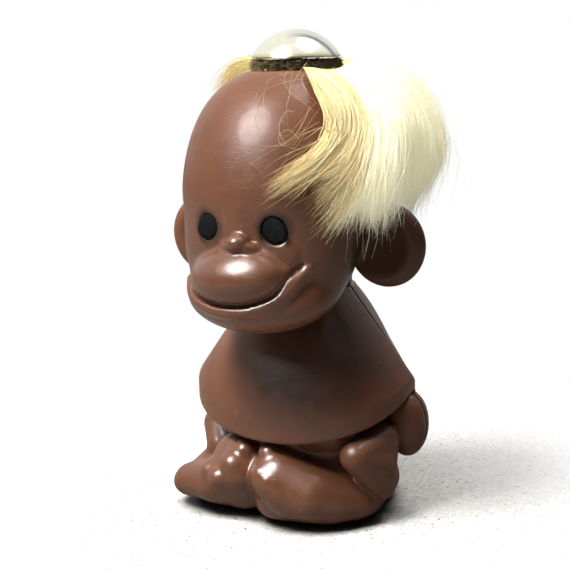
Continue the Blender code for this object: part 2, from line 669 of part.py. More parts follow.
def make_hair(fur):
    """Tuft of long fur: locks that leave the edge of the hide disc and fall over the left and back of the head."""
    hair = mesh_object("hair_tuft", build_hair, PARTS)
    blend(hair, 0.9 * MM, 4, HAIR_FACES)
    forms = head_forms()
    room = cutter("hair_room", lambda bm: [
        *(add_ellipsoid(bm, *scaled(form, 3 * GAP), segments=40, rings=24) for form in forms.values()),
        add_ellipsoid(
            bm, (EAR_X, EAR_Y, EAR_Z), (EAR_HALF_WIDTH + 2 * GAP, EAR_HALF_DEPTH + 2 * GAP, EAR_HALF_HEIGHT + 2 * GAP)
        ),
        add_cylinder(bm, (0, CROWN_Y, CROWN_Z - 2 * MM), (0, CROWN_Y, CROWN_Z + 10 * MM), HIDE_RADIUS + GAP, 48),
    ])
    blend(room, VOXEL, 3, 3000)
    boolean(hair, room, "DIFFERENCE")
    cap_room = cutter("cap_room", lambda bm: add_cylinder(
        bm, (0, CROWN_Y, CROWN_Z + HIDE_THICKNESS - GAP), (0, CROWN_Y, CROWN_Z + 10 * MM), CAP_RADIUS + GAP, 48
    ))
    boolean(hair, cap_room, "DIFFERENCE")
    hair.data.materials.clear()
    hair.data.materials.append(fur)
    return hair


def build_hair(bm):
    for centre, radii in HAIR_MASS:
        add_ellipsoid(bm, Vector(centre) * MM, Vector(radii) * MM)
    for lock in HAIR_LOCKS:
        add_limb(bm, lock)


for old in list(bpy.data.objects):
    bpy.data.objects.remove(old)
PARTS = new_collection("toy_monkey")
CUTTERS = new_collection("cutters")

BROWN_PLASTIC = material("brown_plastic", (0.13, 0.055, 0.04), 0.38)
EYE_BLACK = material("eye_black", (0.012, 0.012, 0.013), 0.65)
CAP_METAL = material("cap_metal", (0.82, 0.74, 0.52), 0.22, 1.0)
PIN_METAL = material("pin_metal", (0.55, 0.54, 0.52), 0.4, 1.0)
HIDE = material("hide", (0.09, 0.08, 0.05), 0.9)
FUR = material("blond_fur", (0.85, 0.7, 0.34), 0.6)

head_pieces = make_head(BROWN_PLASTIC, EYE_BLACK)
body_pieces = make_body(BROWN_PLASTIC)
cap_pieces = make_cap(CAP_METAL, PIN_METAL, HIDE)
hair_tuft = make_hair(FUR)

neck_axis = bpy.data.objects.new("head_turn_axis", None)
PARTS.objects.link(neck_axis)
for piece in (*head_pieces, *cap_pieces, hair_tuft):
    piece.parent = neck_axis
for piece in (*head_pieces, *body_pieces):
    piece.data.shade_smooth()
    piece.data.set_sharp_from_angle(angle=math.radians(35))
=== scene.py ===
"""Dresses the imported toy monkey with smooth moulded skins, black eyes, a domed cap and a tuft of long fur.

Lengths in this file are millimetres, in the CAD's own axes: the monkey faces -Y, its left hand is at +X, and
it sits on Z = 0. They become metres when a mesh is made.
"""
import math

import bpy
import numpy as np
from bpy.props import FloatProperty, FloatVectorProperty, IntProperty, PointerProperty
from mathutils import Matrix, Vector


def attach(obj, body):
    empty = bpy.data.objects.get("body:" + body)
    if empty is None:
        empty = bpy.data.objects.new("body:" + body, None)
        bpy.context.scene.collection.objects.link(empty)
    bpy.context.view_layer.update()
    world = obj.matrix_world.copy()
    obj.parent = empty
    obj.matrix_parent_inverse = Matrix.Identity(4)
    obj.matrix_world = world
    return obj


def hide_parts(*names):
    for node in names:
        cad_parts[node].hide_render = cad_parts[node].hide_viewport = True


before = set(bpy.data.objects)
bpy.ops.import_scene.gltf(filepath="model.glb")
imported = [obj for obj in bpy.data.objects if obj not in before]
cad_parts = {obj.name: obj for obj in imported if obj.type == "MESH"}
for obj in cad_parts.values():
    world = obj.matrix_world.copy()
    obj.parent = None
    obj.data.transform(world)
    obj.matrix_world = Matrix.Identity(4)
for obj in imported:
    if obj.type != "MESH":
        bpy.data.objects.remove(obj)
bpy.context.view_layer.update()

bl_info = {
    "name": "Toy Monkey Finish",
    "version": (1, 0, 0),
    "blender": (4, 5, 0),
    "location": "View3D > Sidebar > Toy Monkey",
    "description": "Moulded skins, eyes, cap and fur for the seated toy monkey",
    "category": "Object",
}

MM = 0.001
FAR = 9.0

# Sizes shared with the solids
PART_EDGE = 0.15
CROWN_Y = -3.0
CROWN_Z = 83.1
CROWN_THICKNESS = 4.4
HEAD_WALL = 2.3
COLLAR_TOP = 42.6
COLLAR_RADIUS = 9.0
COLLAR_LIP = 1.8
NECK_RADIUS = 6.6
NECK_BORE = 5.0
NECK_ROOT_Z = 50.0
FLANGE_RADIUS = 8.5
FLANGE_THICKNESS = 1.6
TURN_GAP = 0.4
SWEEP_GAP = 0.9
HEM_HALF_WIDTH = 21.8
HEM_HALF_DEPTH = 18.4
HEM_SIDE_Z = 23.8
HEM_FRONT_Z = 16.3
HEM_THICKNESS = 1.5
BACK_SWELL = 1.6
EYE_SPACING = 13.0
EYE_Z = 57.2
NOSE_Z = 54.8
SMILE_LINE = (
    (-11.4, 47.6), (-9.5, 45.7), (-5.7, 44.4), (-0.9, 44.0), (3.8, 44.7), (6.6, 46.0), (8.6, 47.9),
    (9.8, 49.8), (10.8, 51.0),
)
EAR_CENTRE = (18.6, -5.6, 52.2)
EAR_RADII = (7.4, 2.7, 7.7)
CAP_RADIUS = 8.25
CAP_HEIGHT = 5.1
CAP_SHEET = 0.6
CAP_RIM_Z = 85.3
HIDE_RADIUS = 7.4
HIDE_BOTTOM = 83.4
HIDE_TOP = 85.0
PIN_RADIUS = 1.1
NUT_RADIUS = 3.6

# The share of its fall at which the garment is at its widest, and the power by which its front falls
HEM_REACH = 0.86
FRONT_DROP = 1.15

# The share of a height, or of a girth, that is taken for the distance from a sloping form
FLANK_SHARE = 0.62
GIRTH_SHARE = 0.8


# Distances: each takes p, a tuple of the arrays x, y and z, and is negative inside the form

def ellipsoid(p, centre, radii, pitch=0.0):
    """k0 (k0 - 1) / k1 with k0 = |q / r| and k1 = |q / r^2|, where q is p - centre turned back by pitch about
    X."""
    x, y, z = (p[i] - centre[i] for i in range(3))
    if pitch:
        c, s = math.cos(math.radians(pitch)), math.sin(math.radians(pitch))
        y, z = c * y + s * z, c * z - s * y
    k0 = np.sqrt((x / radii[0]) ** 2 + (y / radii[1]) ** 2 + (z / radii[2]) ** 2)
    k1 = np.sqrt((x / radii[0] ** 2) ** 2 + (y / radii[1] ** 2) ** 2 + (z / radii[2] ** 2) ** 2)
    return k0 * (k0 - 1.0) / np.maximum(k1, 1e-6)


def limb(p, a, b):
    """Round cone between two balls (x, y, z, radius): |p - a - t (b - a)| - r(t), with t in 0 to 1."""
    ax, ay, az, ar = a
    dx, dy, dz, dr = (b[i] - a[i] for i in range(4))
    qx, qy, qz = p[0] - ax, p[1] - ay, p[2] - az
    t = np.clip((qx * dx + qy * dy + qz * dz) / (dx * dx + dy * dy + dz * dz), 0.0, 1.0)
    return np.sqrt((qx - t * dx) ** 2 + (qy - t * dy) ** 2 + (qz - t * dz) ** 2) - (ar + t * dr)


def rod(p, path):
    """The least of the round cones along a path of (x, y, z, radius) rows, worked out only near the path."""
    path = np.asarray(path, float)
    reach = path[:, 3].max() + 2.5
    low, high = path[:, :3].min(0) - reach, path[:, :3].max(0) + reach
    near = np.ones(np.shape(p[0]), bool)
    for i in range(3):
        near &= (p[i] > low[i]) & (p[i] < high[i])
    q = tuple(c[near] for c in p)
    best = np.full(q[0].shape, FAR)
    for a, b in zip(path[:-1], path[1:]):
        best = np.minimum(best, limb(q, a, b))
    out = np.full(near.shape, FAR)
    out[near] = best
    return out


def pillar(p, radius, low, high, y=0.0):
    """Upright cylinder: the larger of r - radius, z - high and low - z."""
    return np.maximum(np.hypot(p[0], p[1] - y) - radius, np.maximum(p[2] - high, low - p[2]))


def melt(a, b, reach):
    """Smooth union: min(a, b) - h^2 reach / 4, with h = max(0, 1 - |a - b| / reach)."""
    h = np.maximum(0.0, 1.0 - np.abs(a - b) / reach)
    return np.minimum(a, b) - h * h * reach * 0.25


def carve(a, b, reach):
    """What is in a and not in b, with the edge rounded as in melt."""
    return -melt(-a, b, reach)


def mirrored(p):
    return np.abs(p[0]), p[1], p[2]


# Head

HEAD_FORMS = {
    "cranium": ((0, CROWN_Y - 8, 62), (17.8, 16.2, 17.8), 0),
    "crown": ((0, CROWN_Y - 5.5, CROWN_Z - 15.1), (17.2, 16.8, 16.3), 0),
    "cheeks": ((0, CROWN_Y - 12, 52.2), (16.2, 11.6, 13.0), 0),
    "jaw": ((0, CROWN_Y - 15.4, 45), (14.0, 10.8, 6.7), 12),
    "nape": ((0, CROWN_Y + 1, 53), (10.8, 11.8, 9.8), 0),
}
MUZZLE = ((-0.4, CROWN_Y - 17.3, 48.7), (11.3, 11.2, 6.5), 2)
MUZZLE_ROLL = 5.0
UPPER_LIP = ((0.7, -27.6, 50.0), (6.8, 3.1, 4.6), -33.5)
UNDER_EYE = (
    (4.0, -25.3, 54.6, 0.9), (5.6, -24.9, 54.1, 1.1), (7.4, -24.6, 53.6, 1.1), (8.8, -24.1, 52.9, 0.8),
)
EYE_LEAN = 0.7
EYE_WIDE = 1.95
EYE_TALL = 2.3
EYE_FRONT = 0.3
EYE_BACK = 0.85
EYE_SINK = 0.12


def bare_head(p):
    """The main forms of the head melted together, with the muzzle set on them at a tighter crease."""
    head = ellipsoid(p, *HEAD_FORMS["cranium"])
    for name, reach in (("crown", 2.0), ("cheeks", 3.0), ("jaw", 2.4), ("nape", 3.0)):
        head = melt(head, ellipsoid(p, *HEAD_FORMS[name]), reach)
    head = melt(head, pillar(p, COLLAR_RADIUS - TURN_GAP, COLLAR_TOP + TURN_GAP, NECK_ROOT_Z), 2.0)
    c, s = math.cos(math.radians(MUZZLE_ROLL)), math.sin(math.radians(MUZZLE_ROLL))
    x, z = p[0] - MUZZLE[0][0], p[2] - MUZZLE[0][2]
    rolled = (c * x + s * z + MUZZLE[0][0], p[1], c * z - s * x + MUZZLE[0][2])
    return melt(head, ellipsoid(rolled, *MUZZLE), 0.9)


def foremost(x, z, form):
    """The y at which the form begins, found by halving between a point before it and one inside it."""
    before, inside = np.full_like(x, -38.0), np.full_like(x, -12.0)
    for _ in range(24):
        middle = (before + inside) / 2
        hit = form((x, middle, z)) < 0
        inside, before = np.where(hit, middle, inside), np.where(hit, before, middle)
    return inside


def smile_line(below, sink, radius, taper, count=41):
    """Rows (x, y, z, radius) along the smile, moved below it on the face and sunk into it, thinner at both
    ends."""
    x, z = resampled(SMILE_LINE, count).T
    dx, dz = np.gradient(x), np.gradient(z)
    length = np.hypot(dx, dz)
    x, z = x + below * dz / length, z - below * dx / length
    y = foremost(x, z, bare_head) + sink
    t = np.linspace(-1, 1, count)
    return np.stack([x, y, z, radius * (1 - taper * np.abs(t) ** 3)], 1)


class Face:
    """Places on the face that other pieces need, worked out once."""
    def __init__(self):
        self.groove = smile_line(-0.45, 0.3, 0.6, 0.45)
        self.lip = smile_line(0.85, 0.05, 1.05, 0.3)
        self.nose_y = float(foremost(np.array([0.0]), np.array([NOSE_Z]), bare_head)[0])
        self.eye = self.spot(EYE_SPACING / 2, EYE_Z)

    def spot(self, x, z):
        """A point of the face and the way an eye there looks: the normal, turned towards the front."""
        y = float(foremost(np.array([x]), np.array([z]), bare_head)[0])
        normal = slope(bare_head, tuple(np.array([c]) for c in (x, y, z)), 0.05)
        normal = np.array([n[0] for n in normal]) * (0.42, 1.0, 0.5)
        return np.array([x, y, z]), normal / np.linalg.norm(normal)


def slope(field, p, reach):
    """Gradient of a distance by central differences."""
    parts = []
    for axis in range(3):
        ahead = tuple(c + reach if i == axis else c for i, c in enumerate(p))
        behind = tuple(c - reach if i == axis else c for i, c in enumerate(p))
        parts.append((field(ahead) - field(behind)) / (2 * reach))
    return parts


def eye_frame(normal):
    """Across, up and out directions at an eye, whose top leans towards the nose."""
    out = normal
    level = np.cross(out, (0, 0, 1.0))
    level /= np.linalg.norm(level)
    upright = np.cross(level, out)
    c, s = math.cos(EYE_LEAN), math.sin(EYE_LEAN)
    return level * c - upright * s, upright * c + level * s, out


def by_eye(p, face):
    """Coordinates across, up and out at the nearer eye."""
    q = mirrored(p)
    point, normal = face.eye
    return [sum((q[i] - point[i]) * way[i] for i in range(3)) for way in eye_frame(normal)]


def head_with_face(p, face):
    """Bare head with the nose, lips, smile, eye pits and cupped ears."""
    head = melt(bare_head(p), ellipsoid(p, *UPPER_LIP), 1.4)
    q = mirrored(p)
    y = face.nose_y
    ball = ellipsoid(p, (0.6, y - 1.2, NOSE_Z + 0.3), (1.9, 1.9, 1.6))
    wings = np.minimum(
        limb(p, (-0.6, y - 0.8, NOSE_Z - 0.3, 1.2), (-2.4, y + 0.2, NOSE_Z - 0.6, 1.0)),
        limb(p, (2.3, y - 1.1, NOSE_Z - 0.5, 1.0), (3.0, y - 0.5, NOSE_Z - 0.7, 1.0)),
    )
    bridge = limb(p, (0.5, y + 1.3, NOSE_Z + 1.6, 1.3), (0.2, y + 2.4, NOSE_Z + 5.6, 1.4))
    head = melt(melt(head, bridge, 2.6), melt(ball, wings, 0.4), 0.6)
    head = melt(head, rod(p, UNDER_EYE), 1.6)
    head = melt(head, rod(p, face.lip), 0.9)
    head = carve(head, rod(p, face.groove), 0.3)
    eye = by_eye(p, face)
    head = carve(head, ellipsoid(eye, (0, 0, -0.1), (EYE_WIDE + 0.22, EYE_TALL + 0.22, 1.15)), 0.45)
    x, y, z = EAR_CENTRE
    ear = ellipsoid(q, EAR_CENTRE, EAR_RADII)
    wide, deep, tall = EAR_RADII
    cup = ellipsoid(q, (x - 0.9, y - deep - 0.1, z - 0.2), (wide - 1.9, 2.5, tall - 2.0))
    return melt(head, carve(ear, cup, 1.6), 1.2)


def garment_height(radius):
    """Highest point of the garment at a distance from the neck axis, over both profiles."""
    share = np.linspace(0, 1, 60)
    side, front, back = garment_spread(np.minimum(1.0, share / HEM_REACH))
    drop_side = (COLLAR_TOP - HEM_SIDE_Z) * share
    drop_front = (COLLAR_TOP - HEM_FRONT_Z) * share ** FRONT_DROP
    lines = ((side, drop_side), (front, drop_front), (back, drop_front))
    return np.max([COLLAR_TOP - np.interp(radius, reach, drop) for reach, drop in lines], axis=0)


def head_skin(p, face):
    """The moulded head: its outside, less the room for the turning garment, the inner hollow and the pin's
    hole."""
    head = head_with_face(p, face)
    radius = np.hypot(p[0], p[1])
    clear = np.where(
        radius > COLLAR_RADIUS + TURN_GAP, garment_height(radius) + SWEEP_GAP + 0.15, COLLAR_TOP + TURN_GAP
    )
    head = np.maximum(head, (clear - p[2]) * FLANK_SHARE)
    head = carve(head, CROWN_Z - p[2], 0.3)
    flange_top = COLLAR_TOP - COLLAR_LIP - TURN_GAP
    head = np.minimum(head, pillar(p, NECK_RADIUS, flange_top - FLANGE_THICKNESS, NECK_ROOT_Z))
    head = np.minimum(head, pillar(p, FLANGE_RADIUS, flange_top - FLANGE_THICKNESS, flange_top))
    return np.maximum(head, -head_hollow(p))


def head_hollow(p):
    """The hollow inside the head: its forms drawn in by the wall, with the neck's bore and the pin's hole."""
    ceiling = CROWN_Z - CROWN_THICKNESS
    hollow = np.full(np.shape(p[0]), FAR)
    for name in ("cranium", "crown", "cheeks", "jaw"):
        centre, radii, pitch = HEAD_FORMS[name]
        inner = tuple(r - HEAD_WALL for r in radii[:2]) + (min(radii[2] - HEAD_WALL, ceiling - centre[2]),)
        hollow = melt(hollow, ellipsoid(p, centre, inner, pitch), 1.0)
    hollow = np.minimum(hollow, pillar(p, NECK_BORE, 20, 60))
    hollow = np.minimum(hollow, pillar(p, NUT_RADIUS + 0.6, ceiling - 9, ceiling, CROWN_Y))
    return np.minimum(hollow, pillar(p, PIN_RADIUS + 0.3, ceiling - 1, CROWN_Z + 1, CROWN_Y))


# Body

def garment_spread(spread):
    """Half widths of the garment: to the side, to the front and to the back."""
    side = COLLAR_RADIUS + (HEM_HALF_WIDTH - COLLAR_RADIUS) * spread
    front = COLLAR_RADIUS + (HEM_HALF_DEPTH - COLLAR_RADIUS) * np.sin(spread * math.pi / 2) ** 0.9
    return side, front, front + BACK_SWELL * np.sin(spread * math.pi)


def garment(p):
    """Bell whose plan is |x/side|^2 + |y/depth|^(2/n) = 1 at each height, n from 1 at the collar to a ridge
    at both sides behind and a full curve in front, cut off along the hem and hollowed a little under it."""
    x, y, z = p
    before = y < 0
    drop = COLLAR_TOP - z
    u = np.clip(drop / (COLLAR_TOP - HEM_FRONT_Z), 0.02, 1.2)
    fall = COLLAR_TOP - HEM_SIDE_Z
    front_fall = COLLAR_TOP - HEM_FRONT_Z
    for _ in range(5):
        spread = np.clip(u / HEM_REACH, 0.0, 1.0)
        side, front, back = garment_spread(spread)
        deep = np.where(before, front, back)
        power = 1.0 + np.where(before, -0.16, 0.5) * np.minimum(1.0, 2.0 * u)
        part = (np.abs(y) / deep) ** (1.0 / power)
        whole = np.sqrt((x / side) ** 2 + part * part)
        across = part / np.maximum(whole, 1e-4)
        value = fall * u * (1 - across) + front_fall * across * u ** FRONT_DROP - drop
        rate = fall * (1 - across) + FRONT_DROP * front_fall * across * u ** (FRONT_DROP - 1)
        u = np.clip(u - value / rate, 0.02, 1.25)
    bell = (whole - 1.0) * np.hypot(x, y) / np.maximum(whole, 0.2) * GIRTH_SHARE
    hem = HEM_SIDE_Z + (HEM_FRONT_Z - HEM_SIDE_Z) * across
    cloth = carve(np.maximum(bell, z - COLLAR_TOP), z - hem, 0.5)
    under = np.maximum(bell + HEM_THICKNESS, z - hem - 2.0)
    return carve(cloth, under, 0.4)


LEFT_LEG = ((0.9, -14.8, 8.7, 5.8), (6.4, -14.0, 5.9, 6.0), (12.4, -8.6, 3.4, 5.7), (11.4, 3, 3.6, 5.6))
LEG_CREST = ((-0.7, -17.9, 9.4, 2.8), (0.5, -18.2, 8.5, 2.9), (2.3, -18.1, 6.9, 2.8), (4.2, -17.6, 4.6, 2.6))
LEG_FOLDS = (
    (-1.0, -19.3, 10.8, 1.0), (0.6, -19.8, 9.7, 1.0), (1.9, -19.85, 8.6, 0.9), (3.0, -19.75, 7.5, 0.9),
    (4.0, -19.5, 6.4, 0.8), (4.8, -19.2, 5.4, 0.7),
)
LEFT_LEG_LOW = ((0.9, -13.8, 3.4, 5.6), (9, -11.6, 3, 5.9), (11.8, -6, 2.6, 6))
RIGHT_FOOT = ((-7.4, -15.0, 8.6, 5.0), (-12.5, -14.6, 5.6, 4.9), (-19.4, -13.8, 4.2, 3.4))
RIGHT_FOOT_LOW = ((-7.4, -13.2, 3.4, 4.6), (-13, -12.6, 3, 4.2), (-18.5, -12.6, 2.6, 2.8))
RIGHT_LEG = ((-18.6, -13, 4, 3.5), (-15.5, -5, 5.6, 5.6), (-12.6, 3, 6, 6.6))
LEFT_ELBOW = ((20.3, 0.6, 17.0), (3.9, 4.6, 6.4))
LEFT_HAND = (
    (15.2, -12.4, 14.0, 3.1), (18.2, -7.4, 6.8, 2.5), (17.4, -5.5, 15.4, 3.3), (15.2, -12.4, 14.0, 3.1),
    (17.2, -7.8, 12.0, 3.4),
)
RIGHT_ELBOW = ((-19.3, 0.6, 17.0), (3.7, 4.6, 6.2))
RIGHT_HAND = (
    (-13.6, -8.6, 11.0, 2.6), (-15.4, -7.8, 10.6, 3.2), (-17.2, -4.5, 13.6, 3.8), (-13.6, -8.6, 11.0, 2.6),
)
INSTEP = ((-8.0, -12.8, 10.5), (5.8, 4.8, 5.3))
TOES = (
    (-12.8, -16.9, 8.5, 2.2), (-10.1, -18.4, 8.1, 2.2), (-7.7, -17.2, 10.8, 2.5), (-6.1, -15.7, 13.2, 2.0),
    (-0.8, -16.1, 13.5, 2.0),
)


def limbs(p):
    """Seat, folded legs, feet and arms."""
    seat = ellipsoid(p, (0, 1, 3), (17.3, 15.5, 14))
    seat = melt(seat, ellipsoid(p, (0, 0, 19), (17.6, 14.8, 13)), 2.0)
    seat = melt(seat, ellipsoid(p, (0, -7.4, 8.6), (14.6, 7.8, 5.2)), 2.0)
    left = melt(rod(p, LEFT_LEG), rod(p, LEFT_LEG_LOW), 1.5)
    right = melt(rod(p, RIGHT_FOOT), rod(p, RIGHT_FOOT_LOW), 1.5)
    right = melt(right, rod(p, RIGHT_LEG), 1.5)
    feet = melt(left, melt(right, ellipsoid(p, *INSTEP), 1.5), 0.9)
    feet = melt(feet, rod(p, LEG_CREST), 1.0)
    for bump in (*TOES, *LEG_FOLDS):
        feet = melt(feet, ellipsoid(p, bump[:3], bump[3:] * 3), 0.8)
    body = melt(seat, feet, 1.2)
    for elbow, hand, reach in ((LEFT_ELBOW, LEFT_HAND, 0.7), (RIGHT_ELBOW, RIGHT_HAND, 1.6)):
        body = melt(body, melt(rod(p, hand), ellipsoid(p, *elbow), 0.3), reach)
    return body


HOLLOW_Z = (-2, 2.29, 2.31, 4.3, 12, 22, 31, 38.4, 42)
HOLLOW_WIDE = (13.8, 13.8, 12.2, 12.2, 14.6, 14.6, 11.4, 8.9, 8.9)
HOLLOW_DEEP = (10.3, 10.3, 8.7, 8.7, 11.8, 12.4, 11.6, 8.9, 8.9)


def body_skin(p):
    """The moulded body: garment and limbs together, flat underneath, less the hollow and the hole in the
    collar."""
    body = melt(limbs(p), garment(p), 0.5)
    body = carve(body, p[2], 5.0)
    wide, deep = np.interp(p[2], HOLLOW_Z, HOLLOW_WIDE), np.interp(p[2], HOLLOW_Z, HOLLOW_DEEP)
    hollow = (np.hypot(p[0] / wide, p[1] / deep) - 1) * deep
    hollow = np.maximum(hollow, p[2] - (COLLAR_TOP - COLLAR_LIP))
    hollow = np.minimum(hollow, pillar(p, NECK_RADIUS + TURN_GAP, 30, 60))
    return np.maximum(body, -hollow)


# Meshes

# The lattice: the stride between the nodes that are worked out first, how near to zero a place is worked out in
# full, how often points are moved onto the surface, and the longest such move; the second and last in steps
STRIDE = 4
NEAR_STEPS = 6.5
SETTLINGS = 4
LONGEST_MOVE = 0.4


def sampled(field, axes, step):
    """The field on a lattice: worked out at some nodes first, and at all nodes only where that is near
    zero."""
    coarse = [axis[::STRIDE] for axis in axes]
    values = field(tuple(g.ravel() for g in np.meshgrid(*coarse, indexing="ij")))
    values = values.reshape([len(c) for c in coarse]).astype(np.float32)
    for i, axis in enumerate(axes):
        values = np.repeat(values, STRIDE, i).take(np.arange(len(axis)), i)
    least = np.abs(values)
    for shift in (1 - STRIDE, STRIDE - 1):
        for i in range(3):
            least = np.minimum(least, np.abs(np.roll(values, shift, i)))
    spots = np.nonzero(least < NEAR_STEPS * step)
    values[spots] = field(tuple(axes[i][spots[i]] for i in range(3)))
    return values


CORNERS = np.array([(i, j, k) for i in (0, 1) for j in (0, 1) for k in (0, 1)])
CELL_EDGES = [(a, b) for a in range(8) for b in range(a + 1, 8) if np.abs(CORNERS[a] - CORNERS[b]).sum() == 1]


def level_skin(field, low, high, step, side):
    """Closed skin where the field is zero, on one side of the parting plane: one point for each lattice cell
    that the surface crosses, at the mean of the crossings on its edges and then moved along the gradient onto
    the surface, and one four-sided face for each lattice edge that it cuts. side is -1 in front and 1
    behind."""
    face_y = side * PART_EDGE
    reach = face_y - low[1] if side < 0 else high[1] - face_y
    along = np.arange(-1, int(math.ceil(reach / step)) + 2) * step
    axes = [np.arange(low[i], high[i] + step, step) for i in range(3)]
    axes[1] = np.sort(face_y + side * along)
    values = sampled(field, axes, step)
    beyond = axes[1] * side <= face_y * side + 1e-6
    values[:, beyond, :] = np.maximum(values[:, beyond, :], step * 0.5)
    inside = values < 0
    shape = np.array(inside.shape) - 1
    total = sum(
        inside[tuple(slice(c, c + n) for c, n in zip(corner, shape))].astype(np.int8) for corner in CORNERS)
    cells = np.stack(np.nonzero((total > 0) & (total < 8)), 1)
    number = np.full(total.shape, -1, np.int64)
    number[tuple(cells.T)] = np.arange(len(cells))
    corner = np.stack([values[tuple((cells + c).T)] for c in CORNERS], 1)
    sums, hits = np.zeros((len(cells), 3)), np.zeros((len(cells), 1))
    for a, b in CELL_EDGES:
        cut = (corner[:, a] < 0) != (corner[:, b] < 0)
        t = corner[:, a] / np.where(cut, corner[:, a] - corner[:, b], 1.0)
        sums += (CORNERS[a] + t[:, None] * (CORNERS[b] - CORNERS[a])) * cut[:, None]
        hits += cut[:, None]
    points = np.array([axis[0] for axis in axes]) + (cells + sums / hits) * step

    # Points beside the parting plane lie flat in it, and only those on its outline are moved
    layer = (axes[1][cells[:, 1]] + step / 2) * side - face_y * side
    flat = (layer > 0) & (layer < step)
    near_face = corner[:, CORNERS[:, 1] == (side > 0)] < 0
    still = flat & (near_face.any(1) == near_face.all(1))
    points[flat, 1] = face_y
    for _ in range(SETTLINGS):
        p = tuple(points.T)
        way = np.stack(slope(field, p, step * 0.2), 1)
        way[flat, 1] = 0.0
        move = -way * (field(p) / np.maximum((way ** 2).sum(1), 0.05))[:, None]
        length = np.linalg.norm(move, axis=1)
        move *= np.minimum(1.0, LONGEST_MOVE * step / np.maximum(length, 1e-9))[:, None]
        move[still] = 0.0
        points += move

    quads = []
    for axis in range(3):
        others = [(axis + 1) % 3, (axis + 2) % 3]
        spots = np.stack(np.nonzero(np.diff(inside, axis=axis)), 1)
        spots = spots[((spots[:, others] > 0) & (spots[:, others] < shape[others])).all(1)]
        ring = []
        for offset in ((-1, -1), (0, -1), (0, 0), (-1, 0)):
            cell = spots.copy()
            cell[:, others] += offset
            ring.append(number[tuple(cell.T)])
        quad = np.stack(ring, 1)
        quads.append(np.where(inside[tuple(spots.T)][:, None], quad, quad[:, ::-1]))
    quads = np.concatenate(quads)
    return points, quads[(quads >= 0).all(1)]


def mesh_piece(name, points, faces, uv=None):
    """A smooth-shaded object from an array of points in millimetres and arrays of three- or four-sided
    faces."""
    groups = faces if isinstance(faces, (list, tuple)) else [faces]
    groups = [g for g in groups if len(g)]
    mesh = bpy.data.meshes.new(name)
    corners = np.concatenate([g.ravel() for g in groups]).astype(np.int32)
    sizes = np.concatenate([np.full(len(g), g.shape[1]) for g in groups]).astype(np.int32)
    mesh.vertices.add(len(points))
    mesh.vertices.foreach_set("co", (np.asarray(points) * MM).astype(np.float32).ravel())
    mesh.loops.add(len(corners))
    mesh.loops.foreach_set("vertex_index", corners)
    mesh.polygons.add(len(sizes))
    mesh.polygons.foreach_set("loop_start", np.concatenate([[0], np.cumsum(sizes)[:-1]]).astype(np.int32))
    mesh.polygons.foreach_set("use_smooth", np.ones(len(sizes), bool))
    if uv is not None:
        layer = mesh.uv_layers.new(name="strand")
        layer.data.foreach_set("uv", uv[corners].astype(np.float32).ravel())
    mesh.update(calc_edges=True)
    mesh.validate()
    piece = bpy.data.objects.new(name, mesh)
    bpy.context.scene.collection.objects.link(piece)
    return piece


def grid_faces(rows, columns, closed=True, ring=False):
    """Four-sided faces of a grid of points, row by row. A closed grid joins its last column to its first, and
    a ring its last row to its first as well."""
    i, j = np.meshgrid(np.arange(rows - (not ring)), np.arange(columns - (not closed)), indexing="ij")
    k, following = (j + 1) % columns, (i + 1) % rows * columns
    return np.stack([i * columns + j, i * columns + k, following + k, following + j], -1).reshape(-1, 4)


def fans(rows, count):
    """Faces from the first and last rings of a grid of rows to the poles, which are numbered after its
    points."""
    j = np.arange(count)
    k = (j + 1) % count
    last = (rows - 1) * count
    top = np.full(count, rows * count)
    return [np.stack([top, k, j], 1), np.stack([top + 1, last + j, last + k], 1)]


def turned_piece(name, profile, y, count):
    """Profile of (radius, z) points turned about the upright axis at y: x = r cos a, y = r sin a. A profile
    that ends where it starts is a ring; one that ends on the axis is closed by its poles."""
    profile = np.asarray(profile, float)
    ring = bool(np.allclose(profile[0], profile[-1]))
    body = profile[:-1] if ring else profile[1:-1]
    a = np.arange(count) * 2 * math.pi / count
    r, z = body[:, :1], np.repeat(body[:, 1:], count, 1)
    points = np.stack([r * np.cos(a), r * np.sin(a) + y, z], -1).reshape(-1, 3)
    faces = [grid_faces(len(body), count, ring=ring)]
    if not ring:
        points = np.concatenate([points, [(0, y, profile[0, 1]), (0, y, profile[-1, 1])]])
        faces += fans(len(body), count)
    return mesh_piece(name, points, [f[:, ::-1] for f in faces])


# Materials

